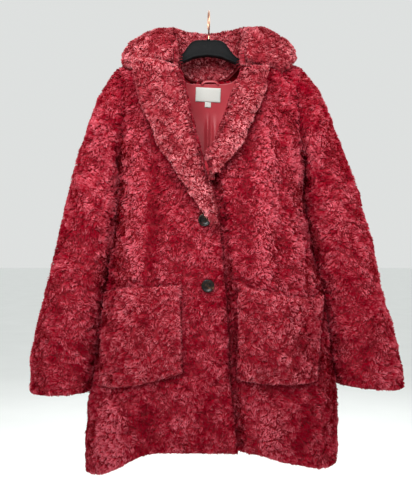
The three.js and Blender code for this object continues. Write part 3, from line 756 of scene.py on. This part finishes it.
JITTER = 0.45
DOWN_NUDGE = 0.02 * np.array((0.3, 1.0, 0.1))  # keeps the downward direction from vanishing
LEAN = 5.5  # sideways from a lock's root to its tip
LEAN_RANGE = (0.4, 1.5)
ROOT_LEAN = 0.8  # share of the lean by which the root stands back
ROOT_ABOVE = 0.5  # the root above the pile's foot
SWIRLS = ((1.5, 46, 11), (1.2, 17, 12))  # turns of the lean: size in radians, width and seed
TUFT_TURN = 0.6
LOCK_TURN = 0.35
LOCK_HEIGHTS = (0.85, 1.12)
TUFT_HEIGHTS = (0.86, 1.14)
LOCK_WIDTH = 2.3
LOCK_WIDTHS = (0.7, 1.3)
LOCK_TAPER = np.array((0.8, 0.9))
LOCK_TILT = 0.6
LOCK_CURL = 1.7
LOCK_ARCH = 0.58  # share of half a turn through which a lock rises
LOCK_STEPS = (0.0, 0.5, 1.0)
TUFT_SHARE = 9  # locks in a tuft
TUFT_RADIUS = 4.2
WIDEST_SPREAD = 1.4  # in such radii
TUFT_PULL = (0.2, 0.65)  # shares of the way from a lock's tip to that of its tuft
LONGEST_PULL = 4.0
FACING_SHARE, UP_SHARE, DOME_SHARE = 0.35, 0.75, 0.35  # of a lock's shading normal

# Colour of a lock: the patches, the light on it and its paleness

PATCHES = ((0.14, 60, 21), (0.17, 24, 22), (0.18, 12, 23))
PATCH_MIDDLE = 0.5
FOLD_LIGHT = 0.06  # painted light and shade of folds: lighter over a ridge and darker in a trough, for each millimetre of a fold's height
TUFT_LIGHT = (0.1, 0.7)  # painted light and shade on tufts: how much lighter a tuft's middle is, and where it is even; its edges, deeper in the pile, are darker
TUFT_NOISE = 0.14
LOCK_NOISE = 0.1
SKY = dict(least=0.15, span=0.8, power=1.2)
# Painted shade: the pile darker towards the hem, keeping this share of its light at the foot and
# all of it above that height
FOOT_LIGHT = dict(share=0.82, foot=-950, height=700)
PATCH_LIGHT = (0.52, 1.25)
PALENESS = (1.25, 0.2)
MIDDLE_TIP = 0.4
LEAST_TIP = 0.14


def scatter(cloth, openness, rng):
    """Places, normals and openness in jittered rows over a cloth's pile."""
    grid, normals, spacing = cloth.pile, cloth.pile_normals, cloth.spacing
    if cloth.closed:
        parts = (grid, normals, openness)
        grid, normals, openness = (np.concatenate([part, part[:, :1]], 1) for part in parts)
    v_length = arc_lengths(grid, 0).mean(1)
    rows = max(int(v_length[-1] / spacing), 2)
    places = []
    for row in range(rows):
        level = np.interp((row + 0.5) / rows * v_length[-1], v_length, np.arange(len(v_length)))
        i = min(int(level), len(grid) - 2)
        line = mix(grid[i], grid[i + 1], level - i)
        u_length = arc_lengths(line)
        count = max(int(u_length[-1] / spacing), 2)
        shift = rng.uniform(-JITTER, JITTER, count)
        along = (np.arange(count) + 0.5 + shift) / count * u_length[-1]
        columns = np.interp(along, u_length, np.arange(len(u_length)))
        step = v_length[-1] / rows / max(v_length[i + 1] - v_length[i], 1e-6)
        levels = np.clip(level + rng.uniform(-JITTER, JITTER, count) * step, 0, len(grid) - 1.001)
        places.append(np.stack([levels, columns], -1))
    places = np.concatenate(places)
    i = np.minimum(places[:, 0].astype(int), grid.shape[0] - 2)
    j = np.minimum(places[:, 1].astype(int), grid.shape[1] - 2)
    a, b = (places[:, 0] - i)[:, None], (places[:, 1] - j)[:, None]

    def blend(values):
        low = mix(values[i, j], values[i, j + 1], b)
        high = mix(values[i + 1, j], values[i + 1, j + 1], b)
        return mix(low, high, a)

    return blend(grid), unit(blend(normals)), blend(openness[..., None])[:, 0]


def nearest_to(points, places):
    """For each place, the number of the nearest point and the distance to it."""
    tree = kdtree.KDTree(len(points))
    for order, point in enumerate(points):
        tree.insert(point, order)
    tree.balance()
    found = [tree.find(place)[1:] for place in places]
    return np.array([one[0] for one in found]), np.array([one[1] for one in found])


def tuft_centres(tips, rng):
    """The locks that are tuft centres and, for each lock, the number of the nearest centre."""
    chosen = rng.choice(len(tips), max(len(tips) // TUFT_SHARE, 1), replace=False)
    return chosen, nearest_to(tips[chosen], tips)[0]


def near_outline(places, outline, reach):
    """1 at an outline and towards 0 away from it."""
    return bell(nearest_to(outline, places)[1], reach)


def shade_of_others(cloth, tips, cloths):
    """How deeply the raised pieces shade each lock near their outlines."""
    cover = np.zeros(len(tips))
    for other in cloths:
        if other is not cloth and other.casts:
            reach, depth = other.casts
            cover = np.maximum(cover, depth * near_outline(tips, other.outline, reach))
    return cover


def lean_directions(tips, up, chosen, tuft, rng):
    """The way each lock leans over the surface, and the way across it."""
    down = unit(np.array((0.0, 0.0, -1.0)) + up * up[:, 2:3] + DOWN_NUDGE)
    aside = np.cross(up, down)
    angle = layered_waves(tips, SWIRLS)[chosen][tuft]
    angle = angle + rng.normal(0, TUFT_TURN, len(chosen))[tuft]
    angle = angle + rng.normal(0, LOCK_TURN, len(tips))
    leaning = down * np.cos(angle)[:, None] + aside * np.sin(angle)[:, None]
    return leaning, np.cross(up, leaning)


def lock_corners(path, up, across, rng):
    """Two corners at the root, two half way and one at the tip, and the way each lock faces."""
    tangent = unit(np.stack([path[:, 1] - path[:, 0], path[:, 2] - path[:, 0]], 1))
    tilt = rng.normal(0, LOCK_TILT, len(path))
    wide = across * np.cos(tilt)[:, None] + up * np.sin(tilt)[:, None]
    wide = unit(wide[:, None] - tangent * np.sum(wide[:, None] * tangent, -1, keepdims=True))
    half = LOCK_WIDTH / 2 * rng.uniform(*LOCK_WIDTHS, len(path))[:, None, None]
    half = half * LOCK_TAPER[None, :, None]
    left, right = path[:, :2] - wide * half, path[:, :2] + wide * half
    corners = np.stack([left[:, 0], right[:, 0], left[:, 1], right[:, 1], path[:, 2]], 1)
    facing = np.cross(right[:, 1] - left[:, 1], path[:, 2] - path[:, 0])
    flip = np.sum(facing * up, -1) < 0
    corners[flip] = corners[flip][:, [1, 0, 3, 2, 4]]
    return corners, np.where(flip[:, None], -facing, facing)


def fur_piece(cloth, openness, cloths):
    rng = np.random.default_rng(cloth.seed)
    tips, up, sky = scatter(cloth, openness, rng)
    count = len(tips)
    chosen, tuft = tuft_centres(tips, rng)
    leaning, across = lean_directions(tips, up, chosen, tuft, rng)
    tall = PILE * rng.uniform(*LOCK_HEIGHTS, count) * rng.uniform(*TUFT_HEIGHTS, len(chosen))[tuft]
    tall, reach = tall[:, None], (LEAN * rng.uniform(*LEAN_RANGE, count))[:, None]
    roots = tips - up * (PILE - ROOT_ABOVE) - leaning * LEAN * ROOT_LEAN
    own_tip = roots + up * tall + leaning * reach
    apart = own_tip - own_tip[chosen][tuft]
    spread = np.clip(np.linalg.norm(apart, axis=-1) / TUFT_RADIUS, 0, WIDEST_SPREAD)
    pull = -apart * rng.uniform(*TUFT_PULL, count)[:, None]
    pull = unit(pull) * np.minimum(np.linalg.norm(pull, axis=-1, keepdims=True), LONGEST_PULL)
    curl = rng.uniform(-LOCK_CURL, LOCK_CURL, count)[:, None]
    path = []
    for t in LOCK_STEPS:
        rise = math.sin(t * math.pi * LOCK_ARCH) / math.sin(math.pi * LOCK_ARCH)
        bend = math.sin(t * math.pi)
        step = roots + up * tall * rise + leaning * reach * t**1.5 + pull * t * t
        path.append(step + across * curl * bend)
    corners, facing = lock_corners(np.stack(path, 1), up, across, rng)
    piece = lock_mesh(f"{cloth.node}_fur", corners)
    lift = fold_lift(cloth.folds, roots[:, 0], roots[:, 2])
    # Painted highlight: a light rim along the outline of a lapel or pocket
    if cloth.casts:
        lift = lift + near_outline(tips, cloth.outline, RIM) * RIM_LIFT
    # Painted shadow: the lapels and pockets darken the pile near their outlines
    uncovered = 1 - shade_of_others(cloth, tips, cloths)
    colour_locks(piece, cloth.tint, roots, sky, uncovered, lift, tuft, spread, rng)
    dome = (apart - up * np.sum(apart * up, -1, keepdims=True)) / TUFT_RADIUS
    normals = unit(facing) * FACING_SHARE + up * UP_SHARE + dome * DOME_SHARE
    piece.data.normals_split_custom_set_from_vertices(np.repeat(unit(normals), 5, axis=0).tolist())
    return piece


def lock_mesh(name, corners):
    count = len(corners)
    mesh = bpy.data.meshes.new(name)
    mesh.vertices.add(count * 5)
    mesh.vertices.foreach_set("co", (corners.reshape(-1) * MM).astype(np.float32))
    loops = (np.arange(count)[:, None] * 5 + np.array([[0, 1, 3, 2, 2, 3, 4]])).reshape(-1)
    mesh.loops.add(len(loops))
    mesh.loops.foreach_set("vertex_index", loops.astype(np.int32))
    starts = (np.arange(count)[:, None] * 7 + np.array([[0, 4]])).reshape(-1)
    mesh.polygons.add(count * 2)
    mesh.polygons.foreach_set("loop_start", starts.astype(np.int32))
    mesh.update(calc_edges=True)
    mesh.shade_smooth()
    cells = math.ceil(math.sqrt(count))
    order = np.arange(count)
    low = np.stack([order % cells, order // cells], -1) / cells
    shape = np.array([(0.1, 0.05), (0.9, 0.05), (0.1, 0.5), (0.9, 0.5), (0.5, 0.95)])
    per_vertex = (low[:, None] + shape[None] / cells).reshape(-1, 2)
    layer = mesh.uv_layers.new(name="OFBake")
    layer.data.foreach_set("uv", per_vertex[loops].reshape(-1).astype(np.float32))
    mesh.materials.append(FUR)
    return show(name, mesh)


def colour_locks(piece, tint, roots, sky, uncovered, lift, tuft, spread, rng):
    """Dark at the root and light at the tip, with patches, tufts and locks apart in shade; the
    colour also carries painted light and shade: darker roots and shut-in places, paler lit tips,
    lighter fold ridges, tuft middles and outline rims, shadow near raised pieces, and darker
    towards the hem.
    """
    deep, body, tip, floor = tint
    tone_and_light = PATCH_MIDDLE + layered_waves(roots, PATCHES)
    # Painted light and shade: lighter on fold ridges, tuft middles and the rims of raised pieces,
    # darker in fold troughs and at tuft edges
    tone_and_light = tone_and_light + lift * FOLD_LIGHT + TUFT_LIGHT[0] * (TUFT_LIGHT[1] - spread)
    tone_and_light = tone_and_light + rng.normal(0, TUFT_NOISE, tuft.max() + 1)[tuft]
    tone_and_light = np.clip(tone_and_light + rng.normal(0, LOCK_NOISE, len(roots)), 0, 1)
    # Painted shade: darker where rays find little open sky, and where a raised piece's outline
    # shades the pile
    seen = np.clip((sky - SKY["least"]) / SKY["span"], 0, 1) ** SKY["power"]
    exposed = mix(floor, 1, seen) * uncovered
    # Painted shade: darker towards the hem
    height = (roots[:, 2] - FOOT_LIGHT["foot"]) / FOOT_LIGHT["height"]
    light = mix(*PATCH_LIGHT, tone_and_light) * exposed * mix(FOOT_LIGHT["share"], 1, smooth_step(height))
    # Painted light: the tips turn paler where the pile is open to light; the rest of their paleness
    # follows the patch tone
    paleness_and_light = (np.clip(tone_and_light * PALENESS[0] - PALENESS[1], 0, 1) * exposed)[:, None]
    middle = mix(body, mix(body, tip, MIDDLE_TIP), paleness_and_light) * light[:, None]
    end = mix(mix(body, tip, LEAST_TIP), tip, paleness_and_light) * light[:, None]
    # Painted shade at the roots: the deep colour, darker still where the pile is shut in or shaded
    # by a raised piece
    root = deep * exposed[:, None]
    levels = np.stack([root, root, middle, middle, end], 1)
    levels = np.concatenate([levels, np.ones(levels.shape[:2] + (1,))], -1)
    layer = piece.data.color_attributes.new("pile", "FLOAT_COLOR", "POINT")
    layer.data.foreach_set("color", levels.reshape(-1).astype(np.float32))


# Cloth pieces: a thin shell on the solid's form, and the pile that stands on it


def fur_cloth(node, grid, outward, free, **more):
    """A cloth piece's form, kept until all the forms are known and can shade each other."""
    cloth = SimpleNamespace(
        node=node, grid=grid, free=free, closed=False, shell_back=FUR_WALL, inside=None,
        folds=(), casts=None,
    )
    vars(cloth).update(more)
    cloth.normals = grid_normals(grid, cloth.closed, np.asarray(outward))
    cloth.pile, away = rounded_edges(grid, cloth.normals, free)
    cloth.pile_normals = grid_normals(cloth.pile, cloth.closed, away)
    return cloth


def openness_of(cloth, tree):
    """Share of open sky over each place of a form, from rays of a fixed length."""
    rng = np.random.default_rng(SHADE_SEED)
    away = unit(rng.normal(size=(SHADE_RAYS, 3)))
    rows, columns = cloth.pile.shape[:2]
    picked_rows = np.unique(np.append(np.arange(0, rows, SHADE_STEP), rows - 1))
    picked_columns = np.unique(np.append(np.arange(0, columns, SHADE_STEP), columns - 1))
    found = np.empty((len(picked_rows), len(picked_columns)))
    for a, i in enumerate(picked_rows):
        for b, j in enumerate(picked_columns):
            normal = cloth.pile_normals[i, j]
            start = Vector(cloth.pile[i, j] + normal * SHADE_START)
            rays = (Vector(ray) for ray in unit(away + normal))
            hits = sum(tree.ray_cast(start, ray, SHADE_REACH)[0] is not None for ray in rays)
            found[a, b] = 1 - hits / SHADE_RAYS
    across = np.array([np.interp(np.arange(columns), picked_columns, row) for row in found])
    return np.array([np.interp(np.arange(rows), picked_rows, line) for line in across.T]).T


def form_tree(cloths):
    points, faces = [], []
    for cloth in cloths:
        faces.extend(grid_faces(*cloth.pile.shape[:2], cloth.closed, len(points)))
        points.extend(cloth.pile.reshape(-1, 3).tolist())
    return BVHTree.FromPolygons(points, faces)


def furred(cloth, tree, cloths):
    base, up = trimmed(cloth.grid, cloth.free), trimmed(cloth.normals, cloth.free)
    front, back = base - up * SHELL_DEPTH, base - up * cloth.shell_back
    materials = [BACKING, cloth.inside] if cloth.inside else [BACKING]
    shell = wall_piece(f"{cloth.node}_cloth", front, back, cloth.closed, materials)
    fur = fur_piece(cloth, openness_of(cloth, tree), cloths)
    dress(shell, "fur", cloth.node)
    dress(fur, "fur")
    lay_sheet(shell, cloth.grid, cloth.closed, cloth.rests_on, with_pieces=[fur])


ALL_ROUND = ("u0", "u1", "v0", "v1")
BODY_CLOTH = dict(tint=BODY_TINT, rests_on="hanger", inside=LINING)


def make_front(node, side, edge_x, lift, hem_fall, seed):
    u, v = np.meshgrid(steps(52, True), steps(124, True))
    return fur_cloth(
        node, front_surface(side, edge_x, lift, hem_fall, u, v), (0.0, -1.0, 0.2),
        ("u0", "v0"), spacing=2.65, seed=seed, folds=FRONT_FOLDS, **BODY_CLOTH,
    )


def make_back():
    u, v = np.meshgrid(steps(84), steps(124, True))
    return fur_cloth(
        "back", back_surface(u, v), (0.0, 1.0, 0.2),
        ("v0",), spacing=3.1, seed=3, folds=BACK_FOLDS, **BODY_CLOTH,
    )


def make_sleeve(node, side, source, seed):
    u, v = np.meshgrid(np.linspace(0, 1, 57)[:-1], steps(104, round_end=True))
    grid = sleeve_surface(side, source, u, v)
    first = grid[0]
    inwards, into_coat = SLEEVE_TUCK
    tucked = first + unit(first.mean(0) - first) * inwards + np.array((-side * into_coat, 0, 0))
    grid = np.concatenate([tucked[None], grid])
    return fur_cloth(
        node, grid, grid - grid.mean(1, keepdims=True),
        ("v1",), closed=True, spacing=2.75, seed=seed, **BODY_CLOTH,
    )


def make_collar():
    u, v = np.meshgrid(steps(44, round_end=True), steps(120, True, True))
    grid = collar_surface(u, v)
    middle = collar_surface(np.full_like(u, 0.5), v, COLLAR_WALL)
    middle[..., 2] = collar_surface(u * 0, v)[..., 2]
    return fur_cloth(
        "collar", grid, grid - middle,
        ("u1", "v0", "v1"), spacing=2.55, seed=6, tint=PALE_TINT, rests_on="back_cloth",
    )


def make_lapel(node, source, lift, base_lift, seed, front):
    u, v = np.meshgrid(steps(30, True, True), steps(64, True, True))
    base = lapel_base(source, lift, base_lift, u, v)
    roll_x, edge_x = read_along(source, v, "roll_x", "edge_x")
    span = np.abs(roll_x - edge_x)
    crown = (1 - np.abs(2 * u - 1) ** 3) ** 0.6 * np.clip(span / LAPEL_FULL_SPAN, 0.45, 1)
    outwards = grid_normals(base, False, np.array((0.0, -1.0, 0.0)))
    grid = base + outwards * (LAPEL_THIN + (LAPEL_THICK - LAPEL_THIN) * crown)[..., None]
    return fur_cloth(
        node, grid, outwards, ALL_ROUND, spacing=2.55, seed=seed, tint=PALE_TINT,
        rests_on=f"{front}_cloth", casts=LAPEL_SHADE,
        outline=np.concatenate([grid[:, -1], grid[-1]]),
    )


def make_pocket(node, shape, lift, seed, front):
    u, v = np.meshgrid(steps(40, True, True), steps(44, True, True))
    base, away = pocket_base(shape, lift, u, v)
    grid = base + away * POCKET_WALL
    return fur_cloth(
        node, grid, away, ALL_ROUND, spacing=2.6, seed=seed, tint=POCKET_TINT,
        rests_on=f"{front}_cloth", shell_back=POCKET_SHELL_BACK, casts=shape["shade"],
        outline=np.concatenate([grid[:, 0], grid[:, -1], grid[0], grid[-1]]),
    )


# Lining, label, tab and loop


def make_lining():
    u, v = np.meshgrid(np.linspace(*LINING_SPAN, 90), np.linspace(*LINING_HEIGHTS, 70))
    grid = back_surface(u, v)
    normals = grid_normals(grid, False, np.array((0.0, 1.0, 0.2)))
    x, z = grid[..., 0], grid[..., 2]
    pleats = sum(share * bell(x - place, spread) for place, spread, share in LINING_PLEATS)
    below = smooth_step((LINING_PLEAT["top"] - z) / LINING_PLEAT["ramp"])
    ripple = waves(grid * np.array((1, 1, 0.35)), LINING_RIPPLE["width"], LINING_RIPPLE["seed"])
    lower = smooth_step((LINING_RIPPLE["top"] - z) / LINING_RIPPLE["ramp"])
    lift = LINING_PLEAT["height"] * below * pleats + LINING_RIPPLE["height"] * ripple * lower
    front = grid - normals * (LINING_DEPTH + LINING_WALL + np.maximum(lift, -1.0))[..., None]
    piece = wall_piece("lining_back", front, front + normals * 1.0, False, [LINING])
    dress(piece, "lining_satin", "lining")
    lay_sheet(piece, front, False, "back_cloth")


def lining_face(x, z):
    return torso_depth(1, x, z) - (LINING_DEPTH + LINING_WALL) * LINING_LEAN


def make_patch(name, node, size, stand_off):
    u, v = np.meshgrid(np.linspace(-0.5, 0.5, 25), np.linspace(-0.5, 0.5, 15))
    width, height = size["width"], size["height"]
    cosine, sine = math.cos(math.radians(size["turn"])), math.sin(math.radians(size["turn"]))
    x = size["x"] + u * width * cosine + v * height * sine
    z = size["top"] - height / 2 + v * height * cosine - u * width * sine
    edge = np.maximum(np.abs(u), np.abs(v)) * 2
    y = lining_face(x, z) - stand_off - PATCH_SWELL * (1 - edge**6)
    front = np.stack([x, y, z], -1)
    piece = wall_piece(name, front, front + np.array((0, size["thick"], 0)), False, [TAPE])
    dress(piece, "label_tape", node)
    lay_sheet(piece, front, False, "lining_back")


def tube_points(path, radius, sides, flat=1.0):
    """Rings along a path; flat is the section's depth as a share of its width."""
    path = np.asarray(path, float)
    tangent = unit(np.gradient(path, axis=0))
    aside = np.array((0.0, 0.0, 1.0)) if abs(tangent[0][2]) < 0.9 else np.array((1.0, 0.0, 0.0))
    turn = np.linspace(0, 2 * math.pi, sides, endpoint=False)
    rings = []
    for point, forward in zip(path, tangent):
        aside = aside - forward * (aside @ forward)
        aside = aside / np.linalg.norm(aside)
        other = np.cross(forward, aside)
        wide, high = np.outer(np.cos(turn), aside), np.outer(np.sin(turn), other)
        rings.append(point + wide * radius + high * radius * flat)
    return np.array(rings)


def loft_piece(name, rings, materials):
    """A closed skin over rings of points, capped at both ends."""
    rows, sides = rings.shape[:2]
    points = rings.reshape(-1, 3)
    faces = list(grid_faces(rows, sides, True))
    faces.append(tuple(range(sides))[::-1])
    faces.append(tuple((rows - 1) * sides + j for j in range(sides)))
    piece = new_mesh(name, points, faces, materials)
    volume = 0.0
    for face in faces[:-2]:
        a, b, c, d = (points[k] for k in face)
        volume += a @ np.cross(b, c) + a @ np.cross(c, d)
    if volume < 0:
        piece.data.flip_normals()
    return piece


def make_loop():
    share = np.linspace(-1, 1, 25)
    rise = LOOP["rise"] * (1 - share**4)
    x = LOOP["x"] + LOOP["half_span"] * share
    y = lining_face(LOOP["x"], LOOP["z"]) - LOOP_GAP - rise * LOOP["forward"]
    rings = tube_points(np.stack([x, y, LOOP["z"] + rise], -1), LOOP["width"] / 2, 12, LOOP["flat"])
    dress(loft_piece("loop_tape", rings, [LINING]), "lining_satin", "hanging_loop")


# Buttons, hanger and hook


def add_button_part(name, node, path, radius, sides):
    part = loft_piece(name, tube_points(path, radius, sides), [HORN])
    dress(part, "horn_plastic")
    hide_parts(node)


def make_button(node, x, z):
    radius, thick = BUTTON_RADIUS, BUTTON_THICK
    profile = [
        (0.2, 0.1), (radius - 1.2, 0.0), (radius - 0.3, 0.5), (radius, 1.4),
        (radius - 0.1, thick - 1.1), (radius - 0.8, thick - 0.3), (radius - 2.0, thick),
        (radius - 3.2, thick - 0.5), (radius - 4.4, thick - 1.3), (5.0, thick - 1.5),
        (3.9, thick - 1.5), (0.2, thick - 1.4),
    ]
    sides = 40
    turn = np.linspace(0, 2 * math.pi, sides, endpoint=False)
    y = float(torso_depth(-1, np.array(float(x)), np.array(float(z)))) + BUTTON_SUNK
    rings = np.array([
        np.stack([x + r * np.cos(turn), np.full(sides, y - h), z + r * np.sin(turn)], -1)
        for r, h in profile
    ])
    dress(loft_piece(f"{node}_disc", rings, [HORN]), "horn_plastic", node)
    apart = EYE["apart"]
    for number, (dx, dz) in enumerate(((-1, -1), (1, -1), (-1, 1), (1, 1))):
        centre = np.array((x + apart * dx, y - thick + EYE["sunk"], z + apart * dz))
        path = centre + np.array(((0, 0.3, 0), (0, 0.0, 0), (0, -0.12, 0)))
        add_button_part(f"{node}_eye_{number}", node, path, EYE["radius"], 14)
    share = np.linspace(0, 1, 9)[:, None]
    for number, dx in enumerate((-1, 1)):
        start = np.array((x + apart * dx, y - thick + THREAD["sunk"], z - apart))
        way = np.array((0, -THREAD["rise"], 2 * apart))
        path = start + way * np.concatenate([share, np.sin(math.pi * share), share], 1)
        add_button_part(f"{node}_thread_{number}", node, path, THREAD["radius"], 8)


HANGER_SECTION = (
    (0.0, 1.0), (-0.35, 0.995), (-0.6, 0.96), (-0.76, 0.84), (-0.86, 0.5), (-0.93, 0.2),
    (-1.0, 0.15), (-1.0, 0.05), (-0.86, 0.0), (-0.55, 0.02), (0.0, 0.06),
)


def make_hanger():
    section = np.array(HANGER_SECTION)
    mirrored = section[1:-1][::-1] * np.array((-1, 1))
    section = np.concatenate([section, mirrored])
    tip = HANGER["x"][-1]
    places = tip * np.sin(np.linspace(-1, 1, 161) * math.pi / 2)
    rings = []
    for x in places:
        top, bottom, depth = (
            smooth_through(HANGER["x"], HANGER[name], abs(x)) for name in ("top", "bottom", "depth")
        )
        height = bottom + section[:, 1] * (top - bottom)
        along = np.full(len(section), HANGER_CENTRE + x)
        rings.append(np.stack([along, section[:, 0] * depth, height], -1))
    piece = loft_piece("hanger_body", np.array(rings), [PLASTIC])
    dress(piece, "hanger_plastic", "hanger")
    boss = [(0, 0, -58.5), (0, 0, -56.0), (0, 0, -55.2)]
    socket = loft_piece("hanger_socket", tube_points(boss, 3.4, 24), [PLASTIC])
    dress(socket, "hanger_plastic")
    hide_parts("hanger")


def make_hook():
    centre = WIRE_RADIUS - HOOK_BEND
    points = [(0, -56.5), (0, -50), (0, centre - HOOK_BEND - 5)]
    for turn in np.radians(np.linspace(-75, 205, 24)):
        points.append((-HOOK_BEND * math.cos(turn), centre + HOOK_BEND * math.sin(turn)))
    points = np.array(points)
    length = arc_lengths(points)
    fine = np.linspace(0, length[-1], 140)
    y = smooth_through(length, points[:, 0], fine)
    z = smooth_through(length, points[:, 1], fine)
    turn = math.radians(HOOK_TURN)
    path = np.stack([-y * math.sin(turn), y * math.cos(turn), z], -1)
    rings = tube_points(path, WIRE_RADIUS, 16)
    for end, tight in ((-1, 0.35), (-2, 0.75), (-3, 0.93)):
        rings[end] = mix(path[end], rings[end], tight)
    piece = loft_piece("hook_wire", rings, [COPPER])
    dress(piece, "copper_wire", "hook")


# Camera, floor and light


CAMERA_PLACE = (-0.0055, -1.4, -0.487)
SENSOR = 36.0
VIEW_HEIGHT = 1.025  # of the photograph's frame, whose long side is upright, at the hanger
FLOOR = -1320.0
FLOOR_REACH = 30000.0
WORLD_COLOUR = (0.86, 0.88, 0.87, 1)
WORLD_STRENGTH = 0.85
LIGHTS = (  # name, place, target, size in metres and power
    ("key", (-0.22, -1.2, 0.2), (0, 0, -0.25), 0.6, 19),
    ("fill", (0.9, -1.3, 0.9), (0, 0, -0.3), 1.2, 12),
    ("behind", (0.3, 2.0, 0.7), (0, 0, -0.45), 1.8, 20),
    ("left_rim", (-1.7, 0.45, 0.0), (0, 0, -0.45), 1.2, 14),
    ("right_rim", (1.7, 0.45, 0.0), (0, 0, -0.45), 1.2, 14),
)


def make_camera():
    data = bpy.data.cameras.new("camera")
    data.sensor_width = SENSOR
    data.lens = SENSOR * -CAMERA_PLACE[1] / VIEW_HEIGHT
    camera = show("camera", data)
    camera.location = CAMERA_PLACE
    camera.rotation_euler = (math.pi / 2, 0, 0)
    bpy.context.scene.camera = camera


def make_floor():
    material = mottled_material(
        "pale_floor", (3.0, 2.0), ((0.3, (0.88, 0.90, 0.89, 1)), (0.7, (0.91, 0.93, 0.92, 1))), 0.9,
    )
    corners = ((-1, -1), (1, -1), (1, 1), (-1, 1))
    points = [(x * FLOOR_REACH, y * FLOOR_REACH, FLOOR) for x, y in corners]
    new_mesh("floor", points, [(0, 1, 2, 3)], [material])


def add_area_light(name, place, target, size, power):
    data = bpy.data.lights.new(name, "AREA")
    data.shape = "DISK"
    data.size = size
    data.energy = power
    light = show(name, data)
    light.location = place
    light.rotation_euler = (Vector(target) - Vector(place)).to_track_quat("-Z", "Y").to_euler()


def make_lights():
    world = bpy.data.worlds.new("soft_world")
    world.use_nodes = True
    background = world.node_tree.nodes["Background"]
    background.inputs["Color"].default_value = WORLD_COLOUR
    background.inputs["Strength"].default_value = WORLD_STRENGTH
    bpy.context.scene.world = world
    for light in LIGHTS:
        add_area_light(*light)


bpy.context.scene.view_settings.view_transform = "Standard"
make_camera()
make_lights()
make_floor()
cloth_pieces = [
    make_back(),
    make_front("front_right", -1, right_edge_x, no_lift, RIGHT_HEM_FALL, 1),
    make_front("front_left", 1, left_edge_x, underlap_lift, LEFT_HEM_FALL, 2),
    make_sleeve("sleeve_right", -1, RIGHT_SLEEVE, 4),
    make_sleeve("sleeve_left", 1, LEFT_SLEEVE, 5),
    make_collar(),
    make_lapel("lapel_right", RIGHT_LAPEL, no_lift, RIGHT_LAPEL_LIFT, 7, "front_right"),
    make_lapel("lapel_left", LEFT_LAPEL, underlap_lift, LEFT_LAPEL_LIFT, 8, "front_left"),
    make_pocket("pocket_right", RIGHT_POCKET, no_lift, 9, "front_right"),
    make_pocket("pocket_left", LEFT_POCKET, left_pocket_lift, 10, "front_left"),
]
shading_forms = form_tree(cloth_pieces)
for cloth_piece in cloth_pieces:
    furred(cloth_piece, shading_forms, cloth_pieces)
make_lining()
make_patch("neck_label_tape", "neck_label", LABEL, LABEL_GAP)
make_patch("size_tab_tape", "size_tab", SIZE_TAB, TAB_GAP)
make_loop()
for button_node, (button_x, button_z) in BUTTONS.items():
    make_button(button_node, button_x, button_z)
make_hanger()
make_hook()
